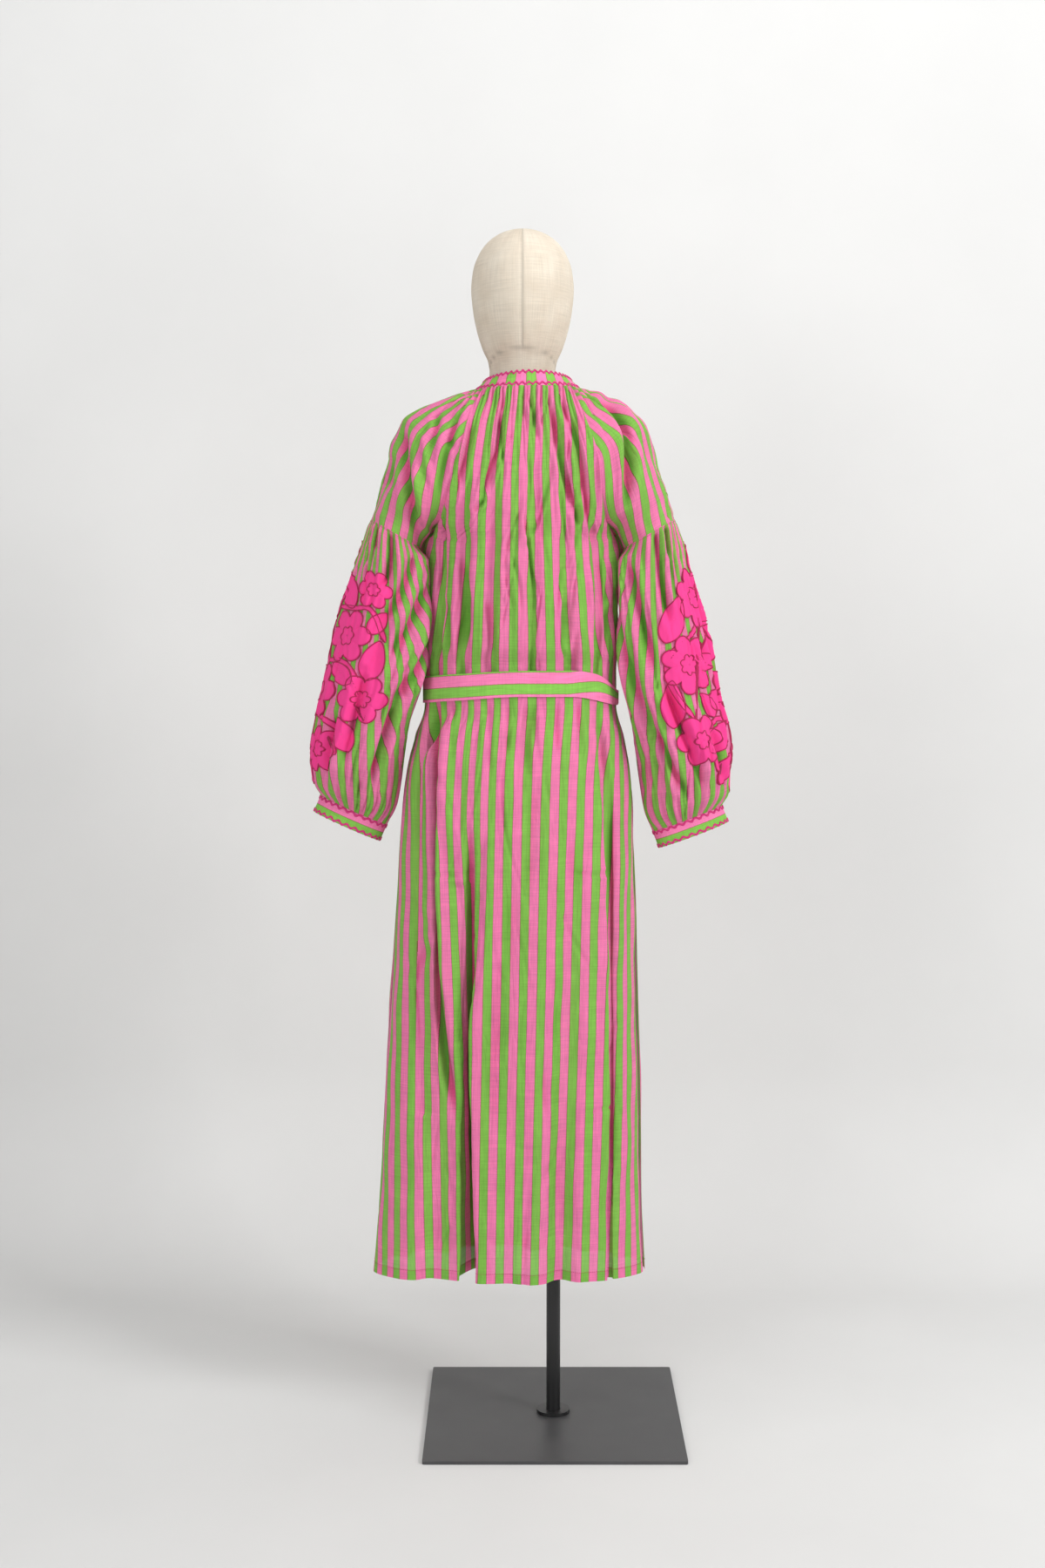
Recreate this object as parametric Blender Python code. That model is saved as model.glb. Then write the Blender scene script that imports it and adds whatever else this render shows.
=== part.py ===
"""A striped cotton kaftan with raglan balloon sleeves and a tie belt, on a headed dress form with a steel stand.

Metres, +Z up. The garment's back faces -Y and its front +Y. The origin is under the middle of the base plate,
on the pole's axis; the dress form and the garment stand to the left of the pole, on an axis of their own.
Every garment table below is measured from that garment axis. "left" and "right" are -X and +X.
"""

import math

import bmesh
import bpy
import numpy as np

# Stand
PLATE_SIDE = 0.380
PLATE_THICK = 0.005
FLANGE_RADIUS = 0.025
FLANGE_THICK = 0.005
POLE_RADIUS = 0.0105
SOCKET_DEPTH = 0.150
CLEAR = 0.0003  # running gap between two pieces that touch in the real object

# Garment
GARMENT_X = -0.0466  # the garment axis stands this far to the left of the pole
WALL = 0.0016  # cloth wall
BAND_WALL = 0.0024  # neckband, cuffs and belt, which are folded double
TRIM_WALL = 0.0010  # ric-rac braid and applique cloth
TRIM_LIFT = 0.0006  # how far a braid's underside stands off its band
BRAID_WIDTH = 0.0052
BRAID_SWING = 0.0013
BRAID_WAVE = 0.0105  # length of one ric-rac wave

NECK_X, NECK_Y = 0.007, 0.0
NECK_HALF_WIDTH, NECK_HALF_DEPTH = 0.077, 0.073
NECK_BACK_Z, NECK_SIDE_Z, NECK_FRONT_Z = 1.535, 1.5357, 1.503
NECK_TILT = 0.0017  # the right side of the neck ring stands this much higher than its middle
NECKBAND_RISE, NECKBAND_LEAN = (0.0225, 0.0150), (0.0100, 0.0150)  # at the back and front, and at the sides
RAGLAN_AT_NECK = 32.0  # degrees each side of the shoulder line that a sleeve takes of the neck ring
SLIT_STATION = 5  # the station at which the front slit ends
SLIT_HALF_GAP = 0.0035

CUFF_HEIGHT = 0.026
CUFF_HALF_DEPTH = 0.021

APPLIQUE_MIDDLE, APPLIQUE_HALF_LENGTH = 0.545, 0.37  # shares of the balloon's length
APPLIQUE_HALF_ROUND = 0.53  # share of half a turn
APPLIQUE_SQUARE = 2.4

BELT_PLAY = 0.0007
TAIL_WIDTH = 0.036

BACK_COLUMNS, FRONT_COLUMNS = 36, 30
SLEEVE_COLUMNS, BALLOON_COLUMNS = 16, 40
BAND_COLUMNS, CUFF_COLUMNS, BELT_COLUMNS = 48, 32, 48
DENSE = 721  # samples along a row before it is divided evenly

UNDERARM = 7  # station of the underarm point; the yoke runs from station 0 at the neck ring to here
YOKE_ROWS = (0, 1, 2, 3, 4, 5, 6, 6.5, 7)  # closer together where the seams turn under the arm
SLEEVE_SEAM = 8  # station of the seam between the raglan sleeve and its balloon


class Table:
    """Rows of sizes under named columns, read between the rows along a curve that never overshoots."""

    def __init__(self, columns, rows):
        self.columns = {name: [row[i] for row in rows] for i, name in enumerate(columns)}
        self.at = self.columns[columns[0]]

    def read(self, name, x):
        at, values = self.at, self.columns[name]
        if at[0] > at[-1]:
            at, values = at[::-1], values[::-1]
        x = min(max(x, at[0]), at[-1])
        i = min(max(int(np.searchsorted(at, x, side="right")) - 1, 0), len(at) - 2)
        step = at[i + 1] - at[i]
        f = (x - at[i]) / step
        first, last = (self._slope(at, values, k) * step for k in (i, i + 1))
        rise = values[i + 1] - values[i]
        return values[i] + f * first + f * f * (3 * rise - 2 * first - last) + f**3 * (first + last - 2 * rise)

    @staticmethod
    def _slope(at, values, k):
        if k in (0, len(at) - 1):
            j = min(k, len(at) - 2)
            return (values[j + 1] - values[j]) / (at[j + 1] - at[j])
        before = (values[k] - values[k - 1]) / (at[k] - at[k - 1])
        after = (values[k + 1] - values[k]) / (at[k + 1] - at[k])
        return 0.0 if before * after <= 0 else 2 * before * after / (before + after)


# The raglan sleeve from the neck ring (station 0) over the shoulder to the balloon seam (station 8): the point on
# the shoulder and outer arm line, the middle of the two raglan seams or the underarm seam, the half depth, and how
# many degrees each side of the arm line the cloth reaches. x is outwards.
RAGLAN_COLUMNS = ("station", "top_x", "top_z", "in_x", "in_z", "half_depth", "reach", "y")
RAGLAN = {
    -1: Table(
        RAGLAN_COLUMNS,
        [
            (0, 0.0700, 1.5340, 0.0583, 1.5340, 0.073, 32, 0.000),
            (1, 0.1050, 1.5245, 0.0740, 1.5000, 0.124, 46, -0.003),
            (2, 0.1480, 1.5080, 0.0840, 1.4620, 0.120, 58, -0.005),
            (3, 0.1760, 1.4870, 0.0930, 1.4300, 0.112, 72, -0.006),
            (4, 0.1880, 1.4550, 0.1010, 1.4000, 0.102, 88, -0.006),
            (5, 0.1970, 1.4230, 0.1100, 1.3720, 0.093, 106, -0.006),
            (6, 0.2060, 1.3930, 0.1200, 1.3450, 0.084, 132, -0.004),
            (7, 0.2130, 1.3700, 0.1360, 1.3250, 0.076, 180, 0.000),
            (8, 0.2215, 1.3480, 0.1470, 1.3050, 0.072, 180, -0.002),
        ],
    ),
    1: Table(
        RAGLAN_COLUMNS,
        [
            (0, 0.0840, 1.5374, 0.0723, 1.5374, 0.073, 32, 0.000),
            (1, 0.1140, 1.5255, 0.0840, 1.5030, 0.122, 44, -0.003),
            (2, 0.1520, 1.5080, 0.0980, 1.4660, 0.120, 56, -0.005),
            (3, 0.1770, 1.4880, 0.1080, 1.4320, 0.112, 72, -0.006),
            (4, 0.1880, 1.4560, 0.1120, 1.4000, 0.102, 88, -0.006),
            (5, 0.1970, 1.4230, 0.1150, 1.3720, 0.093, 106, -0.006),
            (6, 0.2070, 1.3930, 0.1210, 1.3450, 0.084, 132, -0.004),
            (7, 0.2140, 1.3700, 0.1360, 1.3250, 0.076, 180, 0.000),
            (8, 0.2225, 1.3480, 0.1470, 1.3050, 0.072, 180, -0.002),
        ],
    ),
}

# The balloon from the seam (0) to the top of the cuff (1): its outer and its inner edge as seen from behind, its
# half depth, and how far its back is turned towards the body, in degrees.
BALLOON_COLUMNS_NAMED = ("down", "out_x", "out_z", "in_x", "in_z", "half_depth", "y", "turn")
BALLOON = {
    -1: Table(
        BALLOON_COLUMNS_NAMED,
        [
            (0.00, 0.2215, 1.3480, 0.1470, 1.3050, 0.072, -0.002, 0),
            (0.12, 0.2400, 1.2960, 0.1475, 1.2600, 0.076, -0.006, 6),
            (0.30, 0.2630, 1.2230, 0.1475, 1.1960, 0.077, -0.010, 9),
            (0.50, 0.2860, 1.1380, 0.1520, 1.1180, 0.076, -0.010, 9),
            (0.70, 0.3030, 1.0560, 0.1700, 1.0380, 0.074, -0.006, 6),
            (0.84, 0.3120, 1.0020, 0.1780, 0.9800, 0.068, -0.002, 3),
            (0.94, 0.3080, 0.9640, 0.1860, 0.9310, 0.050, 0.000, 0),
            (1.00, 0.2990, 0.9430, 0.2010, 0.8990, 0.022, 0.000, 0),
        ],
    ),
    1: Table(
        BALLOON_COLUMNS_NAMED,
        [
            (0.00, 0.2225, 1.3480, 0.1470, 1.3050, 0.072, -0.002, 0),
            (0.12, 0.2380, 1.2940, 0.1475, 1.2600, 0.076, -0.006, 6),
            (0.30, 0.2570, 1.2210, 0.1475, 1.1940, 0.077, -0.010, 9),
            (0.50, 0.2780, 1.1340, 0.1510, 1.1130, 0.076, -0.010, 9),
            (0.70, 0.2960, 1.0500, 0.1650, 1.0300, 0.074, -0.006, 6),
            (0.84, 0.3060, 0.9950, 0.1720, 0.9700, 0.068, -0.002, 3),
            (0.94, 0.3050, 0.9520, 0.1800, 0.9220, 0.050, 0.000, 0),
            (1.00, 0.2960, 0.9280, 0.1930, 0.8890, 0.022, 0.000, 0),
        ],
    ),
}
CUFF_SLANT = {-1: 24.2, 1: 20.8}  # degrees that a cuff's axis points outwards from straight down

# The middle of the back and of the front at each yoke station, and the share of a half turn that the row spans.
YOKE = Table(
    ("station", "back_y", "back_z", "front_y", "front_z", "span"),
    [
        (0, -0.0730, 1.5350, 0.0730, 1.5030, 58),
        (1, -0.0930, 1.4900, 0.0900, 1.4660, 63),
        (2, -0.1060, 1.4510, 0.1030, 1.4300, 67),
        (3, -0.1140, 1.4150, 0.1140, 1.3960, 71),
        (4, -0.1190, 1.3830, 0.1220, 1.3680, 75),
        (5, -0.1210, 1.3540, 0.1280, 1.3430, 79),
        (6, -0.1215, 1.3290, 0.1310, 1.3220, 84),
        (7, -0.1210, 1.3060, 0.1320, 1.3020, 90),
    ],
)

# The body from the underarm to the hem: its two sides, the middle of its back and of its front, and how square the
# outline is (1 is an ellipse).
BODY = Table(
    ("z", "left_x", "right_x", "back_y", "front_y", "middle_x", "square"),
    [
        (1.325, -0.1360, 0.1360, -0.1210, 0.1320, 0.000, 1.00),
        (1.270, -0.1390, 0.1390, -0.1200, 0.1330, 0.000, 1.05),
        (1.210, -0.1410, 0.1400, -0.1170, 0.1300, 0.000, 1.08),
        (1.160, -0.1440, 0.1410, -0.1120, 0.1210, 0.000, 1.10),
        (1.135, -0.1435, 0.1385, -0.1000, 0.1040, 0.000, 1.10),
        (1.105, -0.1435, 0.1385, -0.1000, 0.1040, 0.000, 1.10),
        (1.075, -0.1435, 0.1385, -0.1000, 0.1040, 0.000, 1.10),
        (1.030, -0.1590, 0.1500, -0.1090, 0.1130, -0.003, 1.10),
        (0.980, -0.1720, 0.1590, -0.1150, 0.1180, -0.006, 1.10),
        (0.900, -0.1810, 0.1640, -0.1160, 0.1190, -0.008, 1.10),
        (0.780, -0.1890, 0.1700, -0.1110, 0.1170, -0.010, 1.10),
        (0.640, -0.1985, 0.1740, -0.1030, 0.1140, -0.012, 1.12),
        (0.500, -0.2070, 0.1780, -0.0960, 0.1110, -0.015, 1.14),
        (0.350, -0.2145, 0.1800, -0.0890, 0.1090, -0.018, 1.16),
        (0.2245, -0.2250, 0.1855, -0.0830, 0.1070, -0.020, 1.18),
    ],
)
BODY_TOP = 1.300  # just under the lowest point of the yoke's last row
HEM_RISE = 0.005  # the hem's back and front hang this much higher than its sides
BODY_ROWS = (1.255, 1.190, 1.138, 1.075, 1.030, 0.970, 0.880, 0.750, 0.580, 0.400, 0.2245)

# Long folds of the body. across runs from -1 at the left side seam to 1 at the right one, at the fold's upper and
# lower end; a positive depth is a trough and a negative one a ridge.
FOLD_COLUMNS = ("across_top", "across_low", "z_top", "z_low", "half_width", "depth_top", "depth_low")
BACK_FOLDS = [
    (-0.70, -0.52, 1.080, 0.480, 0.075, 0.016, 0.006),
    (-0.50, -0.30, 1.080, 0.820, 0.070, -0.009, -0.003),
    (-0.27, -0.165, 0.930, 0.200, 0.125, 0.002, 0.072),
    (-0.40, -0.38, 0.700, 0.200, 0.150, 0.000, 0.018),
    (0.05, 0.00, 1.080, 0.900, 0.060, 0.010, 0.003),
    (0.16, 0.13, 0.950, 0.200, 0.090, 0.000, -0.007),
    (0.30, 0.25, 0.880, 0.200, 0.080, 0.003, 0.016),
    (0.56, 0.53, 1.080, 0.200, 0.070, 0.012, 0.012),
    (-0.62, -0.66, 1.430, 1.120, 0.070, 0.004, 0.012),
    (-0.40, -0.42, 1.430, 1.120, 0.070, 0.005, 0.010),
    (-0.18, -0.22, 1.450, 1.120, 0.070, 0.006, 0.010),
    (0.06, 0.06, 1.450, 1.120, 0.060, 0.006, 0.010),
    (0.28, 0.34, 1.450, 1.120, 0.070, 0.006, 0.010),
    (0.56, 0.58, 1.430, 1.120, 0.070, 0.005, 0.011),
]
FRONT_FOLDS = [
    (-0.66, -0.60, 1.080, 0.200, 0.080, 0.012, 0.018),
    (-0.36, -0.34, 1.080, 0.200, 0.090, 0.008, 0.030),
    (-0.12, -0.10, 0.900, 0.200, 0.080, 0.002, -0.008),
    (0.14, 0.12, 0.980, 0.200, 0.090, 0.003, 0.026),
    (0.40, 0.40, 1.080, 0.200, 0.080, 0.009, 0.016),
    (0.68, 0.62, 1.080, 0.200, 0.070, 0.012, 0.014),
    (-0.60, -0.62, 1.400, 1.120, 0.070, 0.004, 0.011),
    (-0.34, -0.36, 1.400, 1.120, 0.070, 0.004, 0.010),
    (-0.12, -0.13, 1.300, 1.120, 0.060, 0.002, 0.008),
    (0.12, 0.13, 1.300, 1.120, 0.060, 0.002, 0.008),
    (0.34, 0.36, 1.400, 1.120, 0.070, 0.004, 0.010),
    (0.60, 0.62, 1.400, 1.120, 0.070, 0.004, 0.011),
]
# Long folds of the balloons: around is -1 and 1 at the underarm seam, negative at the back, 0 on the outer arm.
BALLOON_FOLDS = [
    (-0.74, -0.66, 0.05, 1.00, 0.080, 0.004, 0.010),
    (-0.50, -0.46, 0.00, 1.00, 0.070, 0.007, 0.008),
    (-0.24, -0.26, 0.30, 1.00, 0.070, 0.000, 0.008),
    (0.22, 0.24, 0.30, 1.00, 0.070, 0.000, 0.008),
    (0.48, 0.46, 0.00, 1.00, 0.070, 0.007, 0.008),
    (0.72, 0.66, 0.05, 1.00, 0.080, 0.004, 0.010),
]
BALLOON_ROWS = (0.0, 0.07, 0.20, 0.36, 0.52, 0.68, 0.82, 0.91, 1.0)

# How deep the gathers stand at the neck ring and at each later row of the yoke, and down a balloon.
NECK_GATHER = (0.0006, 0.0014, 0.0012, 0.0008, 0.0003, 0.0)
BALLOON_GATHER = (0.0014, 0.0022, 0.0012, 0.0, 0.0, 0.0, 0.0008, 0.0024, 0.0014)

# Dress form, measured from the garment axis.
FORM_COLUMNS = ("z", "half_width", "back", "front", "x")
TORSO = [
    (0.800, 0.108, 0.062, 0.054, 0.000),
    (0.808, 0.130, 0.079, 0.069, 0.000),
    (0.830, 0.145, 0.092, 0.082, 0.000),
    (0.880, 0.152, 0.099, 0.088, 0.000),
    (0.940, 0.150, 0.098, 0.088, 0.000),
    (1.020, 0.137, 0.088, 0.082, 0.000),
    (1.100, 0.122, 0.078, 0.078, 0.000),
    (1.180, 0.123, 0.084, 0.088, 0.000),
    (1.250, 0.125, 0.094, 0.106, 0.000),
    (1.310, 0.123, 0.099, 0.107, 0.001),
    (1.370, 0.130, 0.099, 0.094, 0.002),
    (1.420, 0.150, 0.094, 0.082, 0.002),
    (1.460, 0.166, 0.080, 0.068, 0.002),
    (1.484, 0.1688, 0.062, 0.054, 0.0018),
    (1.4990, 0.1567, 0.050, 0.046, 0.0016),
    (1.5085, 0.136, 0.046, 0.044, 0.002),
    (1.5180, 0.110, 0.048, 0.045, 0.003),
    (1.5250, 0.084, 0.052, 0.046, 0.004),
    (1.5330, 0.062, 0.053, 0.045, 0.003),
    (1.5450, 0.053, 0.052, 0.044, 0.001),
]
HEAD = [
    (1.5453, 0.0500, 0.0510, 0.0430, 0.000),
    (1.5600, 0.0482, 0.0500, 0.0480, 0.000),
    (1.5740, 0.0496, 0.0540, 0.0660, 0.000),
    (1.5940, 0.0580, 0.0700, 0.0860, 0.000),
    (1.6190, 0.0660, 0.0840, 0.0920, 0.000),
    (1.6500, 0.0722, 0.0936, 0.0954, 0.000),
    (1.6800, 0.0747, 0.0964, 0.0944, 0.000),
    (1.7070, 0.0718, 0.0926, 0.0890, 0.000),
    (1.7290, 0.0636, 0.0824, 0.0776, 0.000),
    (1.7450, 0.0522, 0.0670, 0.0620, 0.000),
    (1.7560, 0.0382, 0.0480, 0.0440, 0.000),
    (1.7630, 0.0220, 0.0276, 0.0250, 0.000),
    (1.7660, 0.0060, 0.0076, 0.0070, 0.000),
]
FORM_SIDES = 24

# Linear colour, roughness and metallic value.
FINISHES = {
    "voile": ((0.45, 0.30, 0.20), 0.85, 0.0),
    "hot_pink": ((0.80, 0.03, 0.22), 0.80, 0.0),
    "linen": ((0.78, 0.72, 0.62), 0.90, 0.0),
    "steel": ((0.02, 0.02, 0.022), 0.45, 0.0),
}


def empty_scene():
    for thing in list(bpy.data.objects):
        bpy.data.objects.remove(thing)


def own_material(name, finish):
    """A material for one piece, in a finish of linear colour, roughness and metallic value."""
    colour, roughness, metallic = FINISHES[finish]
    made = bpy.data.materials.new(name)
    made.use_nodes = True
    shader = made.node_tree.nodes["Principled BSDF"]
    shader.inputs["Base Color"].default_value = (*colour, 1.0)
    shader.inputs["Roughness"].default_value = roughness
    shader.inputs["Metallic"].default_value = metallic
    return made


def mesh_object(name, mesh, finish, parent=None):
    made = bpy.data.objects.new(name, mesh)
    bpy.context.collection.objects.link(made)
    mesh.materials.append(own_material(name, finish))
    mesh.shade_smooth()
    mesh.set_sharp_from_angle(angle=math.radians(50))
    made.parent = parent
    return made


def unit(vectors):
    return vectors / np.maximum(np.linalg.norm(vectors, axis=-1, keepdims=True), 1e-12)


def smoothstep(x):
    x = np.clip(x, 0.0, 1.0)
    return x * x * (3 - 2 * x)


# --- surfaces -------------------------------------------------------------------------------------------------


def neck_ring(angle):
    """The seam between neckband and panels: angle 0 is the back, 90 degrees the right shoulder."""
    angle = np.asarray(angle, float)
    back = np.cos(angle)
    end_z = np.where(back > 0, NECK_BACK_Z, NECK_FRONT_Z)
    z = NECK_SIDE_Z + (end_z - NECK_SIDE_Z) * back**2 + NECK_TILT * np.sin(angle)
    return np.stack([NECK_X + NECK_HALF_WIDTH * np.sin(angle), NECK_Y - NECK_HALF_DEPTH * back, z], -1)


def raglan_curve(side, station, across):
    """A row of the raglan sleeve. across is -1 on the back seam, 0 on the arm line and 1 on the front seam."""
    table = RAGLAN[side]
    top = np.array([side * table.read("top_x", station), table.read("y", station), table.read("top_z", station)])
    seam = np.array([side * table.read("in_x", station), table.read("y", station), table.read("in_z", station)])
    reach = math.radians(table.read("reach", station))
    out = (top - seam) / (1 - math.cos(reach))
    angle = np.asarray(across, float)[..., None] * reach
    depth = np.array([0.0, table.read("half_depth", station), 0.0])
    points = top - out + out * np.cos(angle) + depth * np.sin(angle)
    at_neck = max(0.0, 1 - station)
    if at_neck > 0:  # the front of the neck ring lies lower than its back
        ring = side * math.pi / 2 + side * angle[..., 0] * math.radians(RAGLAN_AT_NECK) / reach
        rise = (neck_ring(ring)[..., 2] - neck_ring(side * math.pi / 2)[2]) * at_neck
        points = points + np.stack([0 * rise, 0 * rise, rise], -1)
    return points


def balloon_curve(side, down, around):
    """A ring of the balloon. around is -1 and 1 at the underarm seam, negative at the back."""
    table = BALLOON[side]
    y = table.read("y", down)
    outer = np.array([side * table.read("out_x", down), y, table.read("out_z", down)])
    inner = np.array([side * table.read("in_x", down), y, table.read("in_z", down)])
    middle, out = (outer + inner) / 2, (outer - inner) / 2
    turn = math.radians(table.read("turn", down)) * side
    depth = table.read("half_depth", down) * np.array([math.sin(turn), math.cos(turn), 0.0])
    angle = np.asarray(around, float)[..., None] * math.pi
    return middle + out * np.cos(angle) + depth * np.sin(angle)


def body_row(face, level):
    """Ends, middle, span and squareness of one row of the back (face -1) or front (1) panel.

    A level up to UNDERARM is a yoke station; past it, it counts the body's own rows by height."""
    if level <= UNDERARM:
        ends = [raglan_curve(side, level, float(face)) for side in (-1, 1)]
        name = "back" if face < 0 else "front"
        x = NECK_X * max(0.0, 1 - level / 3)
        middle = np.array([x, YOKE.read(name + "_y", level), YOKE.read(name + "_z", level)])
        return ends, middle, math.radians(YOKE.read("span", level)), 1.0
    z = height_of(level)
    ends = [np.array([BODY.read(name, z), 0.0, z]) for name in ("left_x", "right_x")]
    rise = HEM_RISE * max(0.0, 1 - (z - BODY_ROWS[-1]) / 0.15)
    middle = np.array([BODY.read("middle_x", z), BODY.read("back_y" if face < 0 else "front_y", z), z + rise])
    return ends, middle, math.pi / 2, BODY.read("square", z)


def height_of(level):
    """Height of a body row, between the underarm and the rows that follow it."""
    heights = (BODY_TOP, *BODY_ROWS)
    i = min(max(int(level) - UNDERARM, 0), len(heights) - 2)
    return heights[i] + (heights[i + 1] - heights[i]) * (level - UNDERARM - i)


def body_curve(face, level, across):
    ends, middle, span, square = body_row(face, level)
    across = np.asarray(across, float)
    angle = np.abs(across) * span
    sideways = (np.sin(angle) / math.sin(span))[..., None]
    bent = (((1 - np.cos(angle)) / (1 - math.cos(span))) ** square)[..., None]
    end = np.where(across[..., None] < 0, ends[0], ends[1])
    share = np.concatenate([sideways, bent, bent], -1)
    return middle + (end - middle) * share


def fold_place(level, across):
    """Where along the body a point of a row lies, measured so that folds run straight through the yoke."""
    across = np.asarray(across, float)
    if level >= UNDERARM:
        return across
    span = math.radians(YOKE.read("span", level))
    widths = [RAGLAN[side].read("in_x", level) / RAGLAN[side].read("in_x", UNDERARM) for side in (-1, 1)]
    share = np.sin(np.abs(across) * span) / math.sin(span) * np.where(across < 0, *widths)
    return np.sign(across) * np.arcsin(np.clip(share, 0, 1)) / (math.pi / 2)


def fold_depth(folds, position, place, across):
    """How far the long folds push the cloth in at a position between their upper and lower ends."""
    depth = np.zeros_like(place)
    for fold in folds:
        f = dict(zip(FOLD_COLUMNS, fold))
        share = (position - f["z_top"]) / (f["z_low"] - f["z_top"])
        if not 0 <= share <= 1:
            continue
        centre = f["across_top"] + (f["across_low"] - f["across_top"]) * share
        deep = f["depth_top"] + (f["depth_low"] - f["depth_top"]) * share
        deep *= float(smoothstep(share * 8) if f["depth_top"] else 1.0)
        near = np.clip(1 - ((place - centre) / f["half_width"]) ** 2, 0, 1)
        depth += deep * near**2
    return depth * smoothstep((1 - np.abs(across)) * 12)


def folded_row(curve, level, depth, face, step=0.02):
    """The row's dense points pushed in by its folds, square to the cloth."""
    across = np.linspace(-1, 1, DENSE)
    points = curve(level, across)
    along = np.gradient(points, axis=0)
    down = curve(level + step, across) - curve(level - step, across)
    normal = unit(np.cross(down, along)) * -face
    return points - normal * depth[:, None]


def divided(points, count):
    """count + 1 points spaced evenly along a dense row."""
    run = np.concatenate([[0.0], np.cumsum(np.linalg.norm(np.diff(points, axis=0), axis=1))])
    at = np.linspace(0, run[-1], count + 1)
    return np.stack([np.interp(at, run, points[:, i]) for i in range(3)], -1)


def grid_normals(grid, closed=False):
    """Outward normals of a grid of points, rows running down and columns from left to right seen from outside."""
    if closed:
        along = np.roll(grid[:, :-1], -1, axis=1) - np.roll(grid[:, :-1], 1, axis=1)
        along = np.concatenate([along, along[:, :1]], axis=1)
    else:
        along = np.gradient(grid, axis=1)
    down = np.gradient(grid, axis=0)
    return unit(np.cross(down, along))


def cloth_wall(name, outer, inner, finish, parent, skip=()):
    """A closed wall between two grids of points. Points that meet are welded, and every free edge gets a rim.

    skip holds columns whose cells are left out, where the cloth is slit."""
    index, outside, inside = {}, [], []
    rows, columns = outer.shape[:2]
    at = np.zeros((rows, columns), int)
    for r in range(rows):
        for c in range(columns):
            key = tuple(np.round(outer[r, c], 7))
            if key not in index:
                index[key] = len(outside)
                outside.append(outer[r, c])
                inside.append(inner[r, c])
            at[r, c] = index[key]
    sheet = []
    for r in range(rows - 1):
        for c in range(columns - 1):
            if c in skip:
                continue
            corners = [at[spot] for spot in cell_corners(outer, r, c)]
            face = [v for i, v in enumerate(corners) if v != corners[i - 1]]
            if len(set(face)) == len(face) >= 3:
                sheet.append(face)
    return wall_object(name, outside, inside, sheet, finish, parent)


def wall_object(name, outside, inside, sheet, finish, parent):
    """Outer faces, the same faces turned over on the inner points, and a rim along every free edge."""
    count = len(outside)
    edges = {(a, b) for face in sheet for a, b in zip(face, face[1:] + face[:1])}
    rims = [[b, a, a + count, b + count] for a, b in sorted(edges) if (b, a) not in edges]
    outer = [part for face in sheet for part in triangles(face)]
    faces = outer + [[v + count for v in face[::-1]] for face in outer]
    faces += [part for rim in rims for part in triangles(rim)]
    mesh = bpy.data.meshes.new(name)
    mesh.from_pydata([tuple(p) for p in (*outside, *inside)], [], faces)
    bm = bmesh.new()
    bm.from_mesh(mesh)
    bmesh.ops.delete(bm, geom=[v for v in bm.verts if not v.link_faces], context="VERTS")
    bm.to_mesh(mesh)
    bm.free()
    return mesh_object(name, mesh, finish, parent)


def cell_corners(grid, r, c):
    """The corners of a cell in turn, starting where its shorter diagonal does."""
    spots = [(r, c), (r + 1, c), (r + 1, c + 1), (r, c + 1)]
    one, other = (np.linalg.norm(grid[spots[i]] - grid[spots[i + 2]]) for i in (0, 1))
    return spots if one <= other + 1e-6 else spots[1:] + spots[:1]


def triangles(face):
    return [[face[0], face[i], face[i + 1]] for i in range(1, len(face) - 1)]


def seam_normals(face, side, level):
    """The shared normal on a seam, so that the two walls that meet there lean the same way."""
    if level > UNDERARM:
        return np.array([float(side), 0.0, 0.0])
    if level == UNDERARM:
        return unit(np.array([side * 0.45, 0.0, -1.0]))
    edge = np.array([0.985, 1.0]) if side > 0 else np.array([-1.0, -0.985])
    rows = [body_curve(face, level + step, edge) for step in (-0.05, 0.05)]
    body = np.cross(rows[1].mean(0) - rows[0].mean(0), rows[0][1] - rows[0][0])
    edge = np.array([-1.0, -0.97]) if face < 0 else np.array([0.97, 1.0])
    stations = (max(level - 0.05, 0.0), min(level + 0.05, SLEEVE_SEAM))
    rows = [raglan_curve(side, station, edge) for station in stations]
    sleeve = np.cross(rows[1].mean(0) - rows[0].mean(0), rows[0][1] - rows[0][0])
    return unit(unit(body) * -face + unit(sleeve) * side)


# --- garment --------------------------------------------------------------------------------------------------


def panel_rows():
    return [*YOKE_ROWS, *range(UNDERARM + 1, UNDERARM + 1 + len(BODY_ROWS))]


def body_panel(name, face, columns, folds, finish, parent):
    """The back (face -1) or the front (face 1) of the body, in one piece from the neck ring to the hem."""
    grid = []
    for level in panel_rows():
        z = body_row(face, level)[1][2]
        across = np.linspace(-1, 1, DENSE)
        start = float(smoothstep(level / 3))
        depth = fold_depth(folds, z, fold_place(level, across), across) * start
        grid.append(divided(folded_row(lambda k, a: body_curve(face, k, a), level, depth, face), columns))
    grid = np.array(grid)
    normals = -face * grid_normals(grid)
    for i, level in enumerate(panel_rows()):
        normals[i, 0] = seam_normals(face, -1, level)
        normals[i, -1] = seam_normals(face, 1, level)
    for i, depth in enumerate(NECK_GATHER):
        wave = np.where(np.arange(columns + 1) % 2 == 0, -1.0, 1.0) * depth
        wave[[0, -1]] = 0.0
        grid[i] += normals[i] * wave[:, None]
    part_seam(grid, normals, slice(None))
    grid[0] += unit(grid[1] - grid[0]) * CLEAR * 1.5
    skip = ()
    if face > 0:
        grid, normals, skip = slit(grid, normals, columns // 2)
    inner = grid - normals * WALL
    if face > 0:
        grid, inner = grid[:, ::-1], inner[:, ::-1]
    return cloth_wall(name, grid, inner, finish, parent, skip)


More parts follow.
